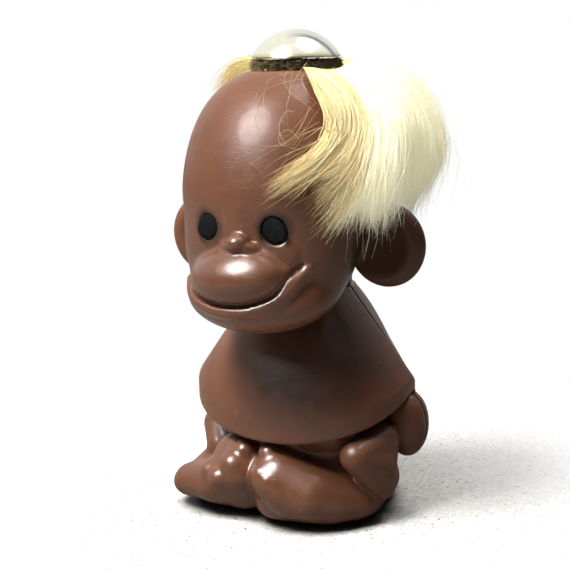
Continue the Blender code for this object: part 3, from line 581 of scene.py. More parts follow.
class Nodes:
    """Short words for building a node tree. Where a node is given as a source, its main output is meant."""
    main = {"ShaderNodeMix": 2, "ShaderNodeVectorMath": "Value"}

    def __init__(self, owner, shader="Principled BSDF"):
        owner.use_nodes = True
        self.owner = owner
        self.tree = owner.node_tree
        self.shader = self.tree.nodes[shader]

    def feed(self, entry, value):
        """Gives an input a plain value, or links it to a node or to an output."""
        if isinstance(value, bpy.types.Node):
            value = value.outputs[self.main.get(value.bl_idname, 0)]
        if isinstance(value, bpy.types.NodeSocket):
            self.tree.links.new(value, entry)
        else:
            entry.default_value = value

    def add(self, kind, *values, **named):
        """A node with its first inputs given in order; a name stands for a setting or for an input."""
        node = self.tree.nodes.new("ShaderNode" + kind)
        inputs = {key: value for key, value in named.items() if key in node.inputs}
        for key in named.keys() - inputs.keys():
            setattr(node, key, named[key])
        for i, value in enumerate(values):
            self.feed(node.inputs[i], value)
        for key, value in inputs.items():
            self.feed(node.inputs[key], value)
        return node

    def surface(self, **values):
        """Inputs of the shader, with _ in a name for a space."""
        for key, value in values.items():
            self.feed(self.shader.inputs[key.replace("_", " ")], value)

    def place(self, turn=(0, 0, 0), scale=(1, 1, 1)):
        """Object coordinates, turned and scaled."""
        return self.add("Mapping", self.add("TexCoord").outputs["Object"], Rotation=turn, Scale=scale)

    def noise(self, place, scale, detail=3.0, roughness=0.55):
        return self.add("TexNoise", Vector=place, Scale=scale, Detail=detail, Roughness=roughness)

    def cells(self, place, scale):
        return self.add("TexVoronoi", Vector=place, Scale=scale)

    def math(self, operation, *values):
        return self.add("Math", *values, operation=operation)

    def ramp(self, source, *stops):
        """Each stop is a position and a colour or a grey."""
        node = self.add("ValToRGB", source)
        elements = node.color_ramp.elements
        while len(elements) < len(stops):
            elements.new(0.5)
        for element, (position, value) in zip(elements, stops):
            element.position = position
            element.color = (*value, 1.0) if isinstance(value, tuple) else (value, value, value, 1.0)
        return node

    def blend(self, factor, a, b, **settings):
        """Colour mix by a factor; a and b are nodes or plain colours."""
        node = self.add("Mix", factor, data_type="RGBA", **settings)
        for entry, value in ((6, a), (7, b)):
            self.feed(node.inputs[entry], (*value, 1.0) if isinstance(value, tuple) else value)
        return node

    def nearest(self, place, spots):
        """Distance from the nearest of some places given in millimetres."""
        least = None
        for spot in spots:
            reach = self.add("VectorMath", place, tuple(c * MM for c in spot), operation="DISTANCE")
            least = self.math("MINIMUM", least, reach) if least else reach
        return least

    def relief(self, *layers):
        """Bumps in turn: each layer is (source, strength, depth in millimetres)."""
        below = {}
        for source, strength, depth in layers:
            bump = self.add("Bump", Height=source, Strength=strength, Distance=depth * MM, **below)
            below = {"Normal": bump}
        self.surface(**below)


POLISHED = ((0.0, -27.0, 50.5), (-2.0, -16.0, 9.0))
# Places of painted shade: under the chin, where the head shades the garment, and by the left ear
PAINTED_SHADE_SPOTS = ((3.0, -10.0, 38.0), (10.0, -9.0, 33.0), (3.0, -14.0, 31.0), (20.5, -6.5, 52.5), (16.5, -11.5, 49.5))


def moulded_plastic(settings, face):
    """Glossy brown plastic: slow drift of tone, rubbed patches, hair-fine scratches, pale specks, a slightly
    grainy skin, painted shade under the chin and by the left ear, and a dark ring round the eyes."""
    n = Nodes(bpy.data.materials.new("moulded brown plastic"))
    place = n.place()

    def shade(*share):
        return tuple(np.array(settings.colour) * share)

    tone = n.ramp(n.noise(place, 55.0, 4.0), (0.3, shade(0.82, 0.8, 0.8)), (0.72, shade(1.16, 1.15, 1.12)))
    dots = n.ramp(n.cells(place, 330.0), (0.035, 1.0), (0.06, 0.0))
    dots = n.math("MULTIPLY", dots, n.ramp(n.noise(place, 140.0, 1.0), (0.6, 0.0), (0.64, 1.0)))
    scratches = [
        n.ramp(n.noise(n.place(turn, scale), 190.0, 2.0, 0.4), (0.70, 0.0), (0.72, 1.0))
        for turn, scale in (((0.4, 0.9, 0.3), (1, 1, 26)), ((1.3, -0.5, 1.1), (1, 30, 1)))
    ]
    faint = n.math("MULTIPLY", n.math("MAXIMUM", *scratches), settings.wear)
    scored = n.blend(faint, tone, shade(1.9, 1.8, 1.75))
    speckled = n.blend(dots, scored, (0.42, 0.3, 0.24))
    # Painted shade: darker and bluer near those places
    painted_shade = n.add("MapRange", n.nearest(place, PAINTED_SHADE_SPOTS), 4.0 * MM, 14.0 * MM)
    with_painted_shade = n.blend(painted_shade, shade(0.4, 0.44, 0.56), speckled)
    rub = n.noise(place, 420.0, 5.0, 0.65)
    # Darker within a ragged ring round each eye
    eyes = n.nearest(place, [face.eye[0], face.eye[0] * (-1, 1, 1)])
    eye_ring = n.add("MapRange", n.math("MULTIPLY_ADD", rub, 1.6 * MM, eyes), 3.1 * MM, 4.7 * MM)
    dulled = n.add("MapRange", n.nearest(place, POLISHED), 9.0 * MM, 24.0 * MM, 0.0, 0.45)
    rubbed = n.math("ADD", dulled, n.add("MapRange", rub, 0.3, 0.72, 0.0, 0.65))
    n.surface(
        Base_Color=n.blend(eye_ring, shade(0.16), with_painted_shade),
        Roughness=n.add("MapRange", rubbed, 0.0, 1.0, settings.gloss_low, settings.gloss_high),
        Specular_IOR_Level=n.add("MapRange", dulled, 0.0, 0.45, 0.5, 0.24),
        IOR=1.5, Coat_Weight=0.12, Coat_Roughness=0.14,
    )
    pores, grain = n.noise(place, 260.0, 4.0, 0.6), n.noise(place, 2300.0, 3.0)
    n.relief((pores, 0.12, 0.35), (grain, 0.5, 0.05), (faint, 0.5, -0.03), (dots, 0.4, 0.04))
    return n.owner


def dull_black(settings):
    """Dry black enamel: uneven, a little crazed, with faint blue-grey bloom."""
    n = Nodes(bpy.data.materials.new("dull black enamel"))
    bloom = n.noise(n.place(), 900.0, 4.0, 0.7)
    n.surface(
        Base_Color=n.ramp(bloom, (0.42, tuple(settings.colour)), (0.75, (0.013, 0.0145, 0.017))),
        Roughness=n.ramp(bloom, (0.3, 0.6), (0.7, 0.85)), Specular_IOR_Level=0.05,
    )
    n.relief((bloom, 0.5, 0.12))
    return n.owner


def pale_metal(settings):
    """Polished pale metal with a painted reflection, a dark blue-grey band across the near face of the dome
    towards its right, and a brassy rim, finely brushed by handling."""
    n = Nodes(bpy.data.materials.new("pale polished metal"))
    place = n.place()
    base = tuple(settings.colour)
    cloud = n.noise(place, 260.0, 5.0, 0.6)
    height = n.add("SeparateXYZ", place).outputs["Z"]
    rim = n.add("MapRange", height, (CAP_RIM_Z + 0.1) * MM, (CAP_RIM_Z + 0.9) * MM, 1.0, 0.0)
    worn = n.ramp(cloud, (0.45, tuple(np.array(base) * 0.94)), (0.7, base))
    brassy = n.blend(rim, worn, tuple(settings.rim_colour))
    # Painted reflection: a dark blue-grey band set by the camera's front and right directions
    front = n.add("VectorMath", place, (0.454, -0.891, 0.0), operation="DOT_PRODUCT")
    side = n.add("VectorMath", place, (0.891, 0.454, 0.0), operation="DOT_PRODUCT")
    painted_reflection_band = n.ramp(n.add("MapRange", front, 5.8 * MM, 9.4 * MM), (0.12, 0.25), (0.4, 1.0), (0.62, 0.0))
    start = n.add("MapRange", side, -3.4 * MM, 1.2 * MM, 0.0, 0.95)
    n.surface(
        Base_Color=n.blend(n.math("MULTIPLY", painted_reflection_band, start), brassy, (0.12, 0.15, 0.2)),
        Roughness=n.ramp(cloud, (0.35, 0.1), (0.75, 0.26)), Metallic=1.0,
    )
    n.relief((cloud, 0.1, 0.05))
    return n.owner


def bare_steel():
    n = Nodes(bpy.data.materials.new("bare steel"))
    cloud = n.noise(n.place(), 700.0, 4.0)
    n.surface(
        Base_Color=n.ramp(cloud, (0.3, (0.4, 0.39, 0.37)), (0.75, (0.62, 0.61, 0.58))),
        Roughness=n.ramp(cloud, (0.3, 0.3), (0.7, 0.5)), Metallic=1.0,
    )
    return n.owner


def raw_hide():
    """Dark raw hide with a cracked grain."""
    n = Nodes(bpy.data.materials.new("raw hide"))
    place = n.place()
    fibre = n.noise(place, 800.0, 5.0)
    n.surface(
        Base_Color=n.ramp(fibre, (0.35, (0.012, 0.009, 0.006)), (0.75, (0.09, 0.065, 0.03))), Roughness=0.9)
    n.relief((n.cells(place, 1200.0), 0.6, 0.15), (fibre, 0.5, 0.2))
    return n.owner


def fur_fibre(name, root, middle, tip, through=0.0):
    """Hair whose tone runs from root to tip along V and differs from strand to strand along U. When through is
    above zero, the hair glows in its tip colour: painted light that keeps its shaded side bright."""
    n = Nodes(bpy.data.materials.new(name))
    split = n.add("SeparateXYZ", n.add("UVMap", uv_map="strand"))
    along = n.ramp(split.outputs["Y"], (0.0, root), (0.14, middle), (0.7, middle), (1.0, tip))
    strand = n.ramp(
        split.outputs["X"], (0.0, (0.66, 0.58, 0.44)), (0.3, (0.95, 0.92, 0.84)), (0.6, (1.0, 1.0, 1.0)))
    n.surface(
        Base_Color=n.blend(1.0, along, strand, blend_type="MULTIPLY"), Roughness=0.42, Specular_IOR_Level=0.6,
        Emission_Color=(*tip, 1), Emission_Strength=through,
    )
    return n.owner


# Fur

FRONT_LOCKS = (
    ((6.4, -13.2, 83.7), (10.6, -17.2, 80.4), (13, -18.5, 77.3), (13.9, -19.4, 74.9), (13.4, -21.1, 71.7),
     (11.7, -23.8, 69.1), (9.3, -25.8, 67), (5.2, -27.4, 63.9)),
    ((8.3, -12.9, 83.6), (13.2, -16.4, 80), (15.9, -17.7, 76.5), (16.5, -19.4, 72.8), (14.6, -22.7, 69.3),
     (11, -25.9, 66.1), (6, -27.2, 62.6)),
    ((10.3, -12.4, 83.2), (15.3, -15.8, 79.7), (18.2, -17.4, 75.5), (18.7, -18.9, 71.2), (17.5, -21.8, 67.9),
     (15, -23.5, 65.8), (11.4, -24.6, 62.9)),
    ((11, -10.5, 83.2), (17.1, -15.8, 79.2), (20.1, -18.2, 73.6), (20.1, -20.5, 68.2), (19, -21.4, 64.8),
     (17.5, -22, 61.5), (13, -22.9, 56.2)),
    ((10.7, -7.4, 83.4), (18.7, -15.3, 79.1), (21.7, -17.3, 73.5), (22, -19.5, 67.5), (20.7, -19.9, 61.4),
     (17.3, -16.4, 55.8)),
    ((10.8, -5.2, 83.8), (20.5, -13.9, 79.1), (23.9, -16.2, 73.5), (24.4, -18.4, 67.1), (22.4, -17.4, 60.6),
     (17.9, -11.2, 54.8)),
    ((10.8, -3.1, 84.3), (19.7, -6.4, 79.6), (23.2, -6, 73.5), (23.5, -5, 66.5), (21.6, -4, 59.2),
     (18.6, -3.8, 55)),
    ((9.6, 1.9, 84.6), (19.5, 1.3, 79.6), (23.5, 2.3, 73), (24.2, 2.6, 65.8), (21.6, 2.4, 59.3),
     (20.3, 0.6, 54.7)),
    ((7.5, 5.3, 84.9), (17.1, 10.2, 80.6), (21.6, 13, 72.6), (22.5, 13.6, 66.4), (21, 12.7, 61.7),
     (19, 9.2, 56.4)),
    ((3, 6.6, 84.6), (8, 13.5, 78), (10.5, 16, 70.5), (10.6, 15.4, 62.5), (9.4, 13, 55.4)),
    ((-2, 5.6, 84.4), (-4.4, 12, 78), (-6.4, 14, 70.5), (-7, 13.4, 63.2), (-7, 11.8, 58)),
    ((-5.4, 2.8, 84.3), (-10.8, 7.4, 82), (-15, 9.4, 77.6), (-16.6, 9.2, 72.6), (-16.4, 8.4, 67.6)),
    ((-6.2, 0.4, 84.6), (-12.0, 2.4, 85.1), (-16.8, 3.2, 83.8), (-20.6, 3.6, 80.8), (-22.8, 3.4, 77.2)),
)


def resampled(path, count):
    """Points evenly spaced by length on a smooth line through the path's points."""
    path = np.asarray(path, float)
    knots = np.concatenate([[0], np.cumsum(np.linalg.norm(np.diff(path, axis=0), axis=1))])
    ways = np.gradient(path, knots, axis=0)
    s = np.linspace(0, knots[-1], count)
    i = np.clip(np.searchsorted(knots, s, side="right") - 1, 0, len(knots) - 2)
    h = (knots[i + 1] - knots[i])[:, None]
    t = ((s - knots[i])[:, None]) / h
    return ((2 * t ** 3 - 3 * t ** 2 + 1) * path[i] + (t ** 3 - 2 * t ** 2 + t) * h * ways[i]
            + (3 * t ** 2 - 2 * t ** 3) * path[i + 1] + (t ** 3 - t ** 2) * h * ways[i + 1])


# A direction that no hair follows, how much thinner a tip is than its root and how late it thins, the share
# of hairs that stray, the counts of waves in a hair, and how far hairs keep off the head
STRAND_HELPER = (0.31, 0.83, 0.47)
TIP_LOSS = 0.85
TIP_POWER = 2.2
STRAY_SHARE = 0.16
SWAY_BEATS = (3.2, 9.0)
HAIR_CLEARANCE = 0.2


class FurSheet:
    """Surface through the guide locks: u runs over the locks and v from the cap to the tips."""
    rows = 40

    def __init__(self):
        self.grid = np.stack([resampled(lock, self.rows) for lock in FRONT_LOCKS])

    def at(self, u, v):
        """Points at arrays u (0 to the number of locks) and v (0 to 1, carried on straight beyond 1)."""
        last = len(self.grid) - 1
        u = np.clip(u, 0, last - 1e-4)
        i = u.astype(int)
        f = (u - i)[..., None]
        w = np.clip(v, 0, 1) * (self.rows - 1)
        j = np.clip(w.astype(int), 0, self.rows - 2)
        g = (w - j)[..., None]

        def row(k):
            return self.grid[i, k] * (1 - f) + self.grid[i + 1, k] * f

        beyond = (row(-1) - row(-4)) / 3 * (self.rows - 1) * np.maximum(v - 1, 0)[..., None]
        return row(j) * (1 - g) + row(j + 1) * g + beyond


def unit(ways, least):
    """Directions of length one along the last axis; lengths under the least are taken for it."""
    return ways / np.maximum(np.linalg.norm(ways, axis=-1, keepdims=True), least)


def strands(points, radius, tone, name):
    """Three-sided tapering hairs. points is an array (strand, step, 3); each step's triangle lies across the
    strand, with corners at radius times the cosine and sine of three even angles."""
    count, steps, _ = points.shape
    along = unit(np.gradient(points, axis=1), 1e-9)
    across = unit(np.cross(along, np.broadcast_to(STRAND_HELPER, along.shape)), 1e-9)
    other = np.cross(along, across)
    v = np.linspace(0, 1, steps)
    taper = (1 - TIP_LOSS * v ** TIP_POWER)[None, :, None, None] * radius[:, None, None, None]
    a = np.arange(3) * 2 * math.pi / 3
    spokes = across[:, :, None] * np.cos(a)[:, None] + other[:, :, None] * np.sin(a)[:, None]
    ring = points[:, :, None] + taper * spokes
    first = np.arange(count)[:, None, None] * steps * 3
    sides = (first + grid_faces(steps, 3)).reshape(-1, 4)
    caps = np.concatenate([first[:, 0] + (2, 1, 0), first[:, 0] + (steps - 1) * 3 + np.arange(3)])
    uv = np.stack([np.repeat(tone, steps * 3), np.tile(np.repeat(v, 3), count)], 1)
    return mesh_piece(name, ring.reshape(-1, 3), [sides, caps], uv)


def outward(points):
    """Unit gradient of the bare head at an array of points (strand, step, 3), and the distance there."""
    p = tuple(points.reshape(-1, 3).T)
    value = bare_head(p).reshape(points.shape[:2])
    return unit(np.stack(slope(bare_head, p, 0.1), 1), 1e-6).reshape(points.shape), value


def kept_off(points, least):
    """Moves points that lie in the bare head, or nearer than least to it, out along its gradient."""
    for _ in range(3):
        way, value = outward(points)
        points = points + way * np.maximum(0.0, least - value)[..., None]
    return points


def combed(sheet, rng, section, thinned, steps=11):
    """Hairs in locks. A lock runs down the sheet near one u, swings aside by a sin(pi v / 2) of its own,
    bulges out and draws its hairs together towards its tip. Each hair has its own length, sways by two sine
    waves that grow with v and lies at its own depth between the sheet and the head. One in six strays across
    the others."""
    low, high, locks, per_lock, gather, loose, shortest, aside = section
    per_lock = max(3, per_lock // thinned)
    centre = np.repeat(rng.uniform(low, high, locks), per_lock)
    count = len(centre)

    def each(values):
        return np.repeat(values, per_lock)[:, None]

    lean = each(rng.normal(aside, 0.22, locks))
    lift = each(np.abs(rng.normal(0, 0.9, locks)) * loose)
    flare = each(rng.normal(0.1, 0.7, locks) * loose)
    length = np.repeat(rng.uniform(shortest, 1.0, locks), per_lock) * rng.uniform(0.72, 1.03, count)
    stray = rng.uniform(0, 1, count) < STRAY_SHARE
    sway = np.where(stray, 1.1, 0.36) * loose * rng.uniform(0.4, 1.6, count)
    v = np.linspace(0, 1, steps)[None] * length[:, None]
    close = 1 - gather * np.clip(v, 0, 1) ** 1.3
    drift = np.where(stray, rng.normal(0, 0.5, count), rng.normal(0, 0.05, count))[:, None]
    u = centre[:, None] + rng.normal(0, 0.26, count)[:, None] * close
    u = u + (lean + drift) * np.sin(v * math.pi / 2) ** 2
    points = sheet.at(np.abs(u) + rng.uniform(-0.04, 0.04, count)[:, None] * v, v)
    for beats in SWAY_BEATS:
        beat = rng.uniform(0.6, 1.4, count)[:, None] * beats
        phase = rng.uniform(0, 2 * math.pi, count)[:, None]
        swing = rng.normal(0, 1, (count, 1, 3)) * sway[:, None, None] * 1.8 / math.sqrt(beats)
        points = points + ((np.sin(v * beat + phase) - np.sin(phase)) * v)[..., None] * swing
    way, value = outward(points)
    bell = np.sin(np.clip(v, 0, 1) * math.pi)
    depth = (rng.uniform(0, 1, count) ** 1.2)[:, None] * np.clip(bell * 1.6, 0, 1)
    room = np.clip(value - 0.3, 0, None)
    raised = lift * bell + flare * v ** 3 + np.where(stray, rng.uniform(0.2, 1.5, count), 0)[:, None] * v
    return points + way * (raised - depth * 0.9 * room)[..., None]


CURLS = (
    ((8.3, -13.2, 83.4), (5.6, -16.6, 82.0), (3.4, -19, 80.4), (2.9, -21.4, 78.2), (4.2, -23.6, 74.6),
     (7, -24, 71.4), (10.4, -22.2, 70.8), (12.8, -19.6, 72.2)),
    ((6.4, -13.4, 83.4), (6.2, -16.8, 81.4), (7.4, -18.6, 78.6), (10.4, -18.8, 76.4), (12.6, -17.6, 76)),
    ((5.6, -13.6, 83.4), (5.6, -18.6, 80), (6.4, -21.6, 76.6), (6.6, -23.4, 73)),
    ((13, -18.2, 74.5), (10.6, -21.6, 72.6), (8, -24, 70), (6.2, -25.2, 67)),
    ((13.2, -18.6, 73.2), (10.6, -22.4, 70), (7.4, -25, 67), (6.8, -25.8, 65)),
    ((9, -21.6, 73.6), (7.4, -22.4, 75), (6.2, -23, 73.6), (7.2, -23.6, 71.6), (9.4, -22.8, 71.4),
     (11.4, -20.8, 73)),
    ((12.6, -17.8, 76.4), (9.6, -21.4, 73.8), (6.6, -24, 71.8), (3.4, -25.4, 70.8)),
)


def curls(rng, copies, steps=22):
    """Fine loose hairs over the forehead: smooth lines through places on it, each copy moved and stretched a
    little at random, and brought to a small height over the head."""
    lines = np.repeat(np.stack([resampled(path, steps) for path in CURLS]), copies, axis=0)
    count = len(lines)
    t = np.linspace(-1, 1, steps)[None, :, None]
    points = lines + rng.normal(0, 0.7, (count, 1, 3)) + rng.normal(0, 1.1, (count, 1, 3)) * t
    points += rng.normal(0, 0.9, (count, 1, 3)) * t ** 2
    height = rng.uniform(0.1, 0.9, count)[:, None]
    height = height * (1.2 + np.sin(3.0 * t[..., 0] + rng.uniform(0, 6, count)[:, None]))
    for _ in range(3):
        way, value = outward(points)
        points = points + way * (height - value)[..., None]
    return points


# Settings

def tint(name, description, default):
    """A setting for a colour."""
    return FloatVectorProperty(
        name=name, description=description, default=default, subtype="COLOR", size=3, min=0, max=1)


def share(name, description, default):
    """A setting between 0 and 1."""
    return FloatProperty(name=name, description=description, default=default, subtype="FACTOR", min=0, max=1)


class PlasticSettings(bpy.types.PropertyGroup):
    colour: tint("Plastic colour", "Base colour of the moulded head and body", (0.14, 0.053, 0.026))
    gloss_low: share("Shiniest roughness", "Roughness where the plastic is least rubbed", 0.24)
    gloss_high: share("Dullest roughness", "Roughness where the plastic is most rubbed", 0.5)
    wear: share("Scratches", "How strongly fine scratches show", 0.4)
    fineness: FloatProperty(
        name="Mesh step", description="Spacing of the lattice that the skins are drawn from, in millimetres",
        min=0.2, max=2, default=0.4)


class EyeSettings(bpy.types.PropertyGroup):
    colour: tint("Eye colour", "Colour of the black eyes", (0.006, 0.006, 0.0065))


class CapSettings(bpy.types.PropertyGroup):
    colour: tint("Cap colour", "Colour of the polished cap", (0.93, 0.9, 0.74))
    rim_colour: tint("Rim colour", "Colour of the cap's worn rim", (0.5, 0.42, 0.2))


class FurSettings(bpy.types.PropertyGroup):
    root: tint("Root colour", "Colour of a hair at the cap", (0.8, 0.66, 0.27))
    middle: tint("Hair colour", "Colour along most of a hair", (0.94, 0.79, 0.4))
    tip: tint("Tip colour", "Colour of the last part of a hair", (0.9, 0.72, 0.38))
    # Painted light: the fur on the side away from the main lamps takes this paler colour and a glow
    pale: tint("Pale colour", "Colour of the fur over the left ear and behind it", (1.0, 0.975, 0.78))
    thickness: FloatProperty(
        name="Hair radius", description="Radius of a hair at its root, in millimetres",
        min=0.02, max=0.3, default=0.06)
    seed: IntProperty(name="Seed", description="Seed of the hairs' random places", min=0, default=7)


class StageSettings(bpy.types.PropertyGroup):
    key: FloatProperty(name="Main lamp", description="Power of the lamp above", min=0, default=1.0)
    fill: share("Surround", "Brightness of the white surround as it lights the object", 0.035)


GROUPS = {
    "monkey_plastic": PlasticSettings, "monkey_eyes": EyeSettings, "monkey_cap": CapSettings,
    "monkey_fur": FurSettings, "monkey_stage": StageSettings,
}


# Operators

FRINGE = 2600


def dress(piece, material, body, node):
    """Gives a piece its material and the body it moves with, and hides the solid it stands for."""
    piece.data.materials.append(material)
    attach(piece, body)
    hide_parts(node)


def plastic_material(context):
    found = bpy.data.materials.get("moulded brown plastic")
    return found or moulded_plastic(context.scene.monkey_plastic, Face())


def skin_pair(context, body, field, low, high):
    """The front and the back skin of the head or of the body."""
    step = context.scene.monkey_plastic.fineness * 1.0
    for side, node in ((-1, body + "_front"), (1, body + "_back")):
        piece = mesh_piece(node + "_skin", *level_skin(field, low, high, step, side))
        dress(piece, plastic_material(context), body, node)


class MONKEY_OT_head(bpy.types.Operator):
    """Makes the front and back skins of the head"""
    bl_idname = "monkey.head"
    bl_label = "Head"

    def execute(self, context):
        face = Face()
        skin_pair(context, "head", lambda p: head_skin(p, face), (-27, -33, 37), (27, 14, 84))
        return {"FINISHED"}


class MONKEY_OT_body(bpy.types.Operator):
    """Makes the front and back skins of the body"""
    bl_idname = "monkey.body"
    bl_label = "Body"

    def execute(self, context):
        skin_pair(context, "body", body_skin, (-26, -23, -1), (26, 21, 43.5))
        return {"FINISHED"}


class MONKEY_OT_eyes(bpy.types.Operator):
    """Makes both eyes"""
    bl_idname = "monkey.eyes"
    bl_label = "Eyes"

    def execute(self, context):
        material = dull_black(context.scene.monkey_eyes)
        point, normal = Face().eye
        for sign, name in ((1, "left_eye"), (-1, "right_eye")):
            dress(eye_piece(name + "_bead", point, normal, sign), material, "head", name)
        return {"FINISHED"}


def eye_piece(name, point, normal, sign, count=48):
    """Oval bead: rings of radius sin b and depth cos b, b from the front pole to the back pole, flattened
    outwards; the far side of the face takes the same bead with x reversed and its faces turned round."""
    across, up, out = eye_frame(normal)
    b = np.linspace(0, math.pi, 26)[1:-1]
    a = np.arange(count) * 2 * math.pi / count
    wobble = 1 + 0.018 * np.sin(3 * a + 1.0) + 0.012 * np.sin(7 * a)
    x = np.outer(np.sin(b), np.cos(a) * wobble) * EYE_WIDE
    z = np.outer(np.sin(b), np.sin(a) * wobble) * EYE_TALL
    y = np.outer(np.cos(b), np.ones(count)) * np.where(np.cos(b) > 0, EYE_FRONT, EYE_BACK)[:, None] - EYE_SINK
    rings = point + x[..., None] * across + z[..., None] * up + y[..., None] * out
    poles = [point + out * (EYE_FRONT - EYE_SINK), point - out * (EYE_BACK + EYE_SINK)]
    points = np.concatenate([rings.reshape(-1, 3), poles])
    faces = [grid_faces(len(b), count), *fans(len(b), count)]
    if sign > 0:
        faces = [f[:, ::-1] for f in faces]
    points[:, 0] *= sign
    return mesh_piece(name, points, faces)


class MONKEY_OT_cap(bpy.types.Operator):
    """Makes the domed cap"""
    bl_idname = "monkey.cap"
    bl_label = "Cap"

    def execute(self, context):
        outer = dome_line(CAP_RADIUS, CAP_HEIGHT, 40)
        inner = dome_line(CAP_RADIUS - CAP_SHEET, CAP_HEIGHT - CAP_SHEET, 24)
        edge = [(CAP_RADIUS - 0.04, CAP_RIM_Z), (CAP_RADIUS - 0.3, CAP_RIM_Z - 0.03)]
        piece = turned_piece("cap_shell", [*outer[:-1], *edge, *inner[::-1]], CROWN_Y, 128)
        dress(piece, pale_metal(context.scene.monkey_cap), "head", "cap_dome")
        return {"FINISHED"}


def dome_line(radius, height, count):
    """Section of a dome from its top to its rim: r = R sin a, z = top - R (1 - cos a)."""
    ball = (radius * radius + height * height) / (2 * height)
    a = np.linspace(0, math.asin(radius / ball), count)
    return np.stack([ball * np.sin(a), CAP_RIM_Z + height - ball * (1 - np.cos(a))], 1)


class MONKEY_OT_hide(bpy.types.Operator):
    """Makes the disc of hide under the cap with its short fringe"""
    bl_idname = "monkey.hide"
    bl_label = "Hide"

    def execute(self, context):
        hole = PIN_RADIUS + 0.3
        piece = turned_piece("hide_patch", [
            (hole, HIDE_TOP), (4.5, HIDE_TOP), (HIDE_RADIUS - 0.5, HIDE_TOP - 0.05),
            (HIDE_RADIUS - 0.1, HIDE_TOP - 0.3), (HIDE_RADIUS, HIDE_TOP - 0.8),
            (HIDE_RADIUS - 0.12, HIDE_BOTTOM + 0.3), (HIDE_RADIUS - 0.5, HIDE_BOTTOM + 0.02),
            (4.5, HIDE_BOTTOM), (hole, HIDE_BOTTOM), (hole, HIDE_TOP),
        ], CROWN_Y, 96)
        dress(piece, raw_hide(), "head", "hide_disc")
        rng = np.random.default_rng(context.scene.monkey_fur.seed + 1)
        count = FRINGE
        a = rng.uniform(0, 2 * math.pi, count)
        reach = rng.uniform(0.5, 1.7, count)
        t = np.linspace(0, 1, 4)[None]
        r = HIDE_RADIUS - 0.3 + reach[:, None] * t
        turn = a[:, None] + rng.normal(0, 0.12, count)[:, None] * t
        z = rng.uniform(HIDE_BOTTOM + 0.1, HIDE_TOP - 0.1, count)[:, None]
        z = np.minimum(z + rng.normal(-0.15, 0.35, count)[:, None] * t, CAP_RIM_Z - 0.15)
        points = np.stack([r * np.cos(turn), r * np.sin(turn) + CROWN_Y, z], -1)
        # Painted shade: the fringe is near-black at the root and olive at the tip, as the hair looks in the
        # shade under the cap
        fringe = fur_fibre("short dark hair", (0.05, 0.035, 0.012), (0.09, 0.065, 0.02), (0.3, 0.24, 0.07))
        radius, tone = rng.uniform(0.05, 0.09, count), rng.uniform(0, 1, count)
        dress(strands(points, radius, tone, "hide_fringe"), fringe, "head", "hide_disc")
        return {"FINISHED"}


# Name, thickness, and: lowest and highest place along the sheet, locks, hairs in a lock, how far a lock
# gathers at its tip, looseness, length of the shortest lock, swing aside
FUR_SECTIONS = (
    ("fur_forelock", 1.4, (0.0, 0.9, 18, 22, 0.94, 0.8, 0.8, 0.0)),
    ("fur_brow", 1.15, (0.7, 2.3, 26, 52, 0.93, 0.7, 0.7, 0.0)),
    ("fur_temple", 1.0, (2.0, 3.3, 28, 66, 0.92, 0.9, 0.66, 0.0)),
    ("fur_over_ear", 1.0, (3.0, 5.2, 46, 66, 0.7, 1.1, 0.6, 0.25)),
    ("fur_left", 1.0, (4.6, 7.0, 46, 66, 0.5, 1.0, 0.66, 0.1)),
    ("fur_left_back", 1.0, (6.6, 8.6, 42, 66, 0.5, 1.0, 0.7, 0.0)),
    ("fur_back", 1.0, (8.3, 10.4, 42, 66, 0.5, 0.9, 0.7, 0.0)),
    ("fur_right_back", 1.0, (10.1, 12.0, 30, 60, 0.5, 0.7, 0.7, 0.0)),
    ("fur_right", 1.0, (11.3, 12.0, 16, 50, 0.6, 0.6, 0.75, 0.0)),
    ("fur_wisps", 0.55, (0.6, 9.5, 160, 4, 0.0, 2.0, 0.55, 0.0)),
)
# Sections that take the pale colour and the glow: painted light on the left side and in the wisps
PAINTED_LIGHT_SECTIONS = ("fur_over_ear", "fur_left", "fur_left_back", "fur_wisps")


class MONKEY_OT_fur(bpy.types.Operator):
    """Makes the tuft of long fur"""
    bl_idname = "monkey.fur"
    bl_label = "Fur"

    def execute(self, context):
        s = context.scene.monkey_fur
        rng = np.random.default_rng(s.seed)
        sheet = FurSheet()
        root, middle, tip, painted_light_tint = (tuple(c) for c in (s.root, s.middle, s.tip, s.pale))
        blond = fur_fibre("long blond hair", root, middle, tip)
        # Painted light: the pale hair is paler and glows, so that it stays bright in shade
        pale = fur_fibre("long pale hair", middle, painted_light_tint, painted_light_tint, through=0.18)
        thinned = 1
        radius = s.thickness * 1.0
        for name, thick, section in FUR_SECTIONS:
            points = kept_off(combed(sheet, rng, section, thinned), HAIR_CLEARANCE)
            sizes = rng.uniform(0.6, 1.25, len(points)) * radius * thick
            tone = rng.uniform(0, 1, len(points)) ** 0.7
            material = pale if name in PAINTED_LIGHT_SECTIONS else blond
            dress(strands(points, sizes, tone, name), material, "head", "hair_tuft")
        wisps = curls(rng, 3)
        sizes, tone = rng.uniform(0.017, 0.028, len(wisps)), rng.uniform(0, 0.5, len(wisps))
        dress(strands(wisps, sizes, tone, "fur_curls"), blond, "head", "hair_tuft")
        return {"FINISHED"}


class MONKEY_OT_hidden(bpy.types.Operator):
    """Finishes the plate underneath, the pin and its nut"""
    bl_idname = "monkey.hidden"
    bl_label = "Plate, pin and nut"

    def execute(self, context):
        steel = bare_steel()
        shown = {"base_plate": plastic_material(context), "cap_pin": steel, "push_nut": steel}
        for node, material in shown.items():
            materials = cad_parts[node].data.materials
            materials.clear()
            materials.append(material)
        return {"FINISHED"}


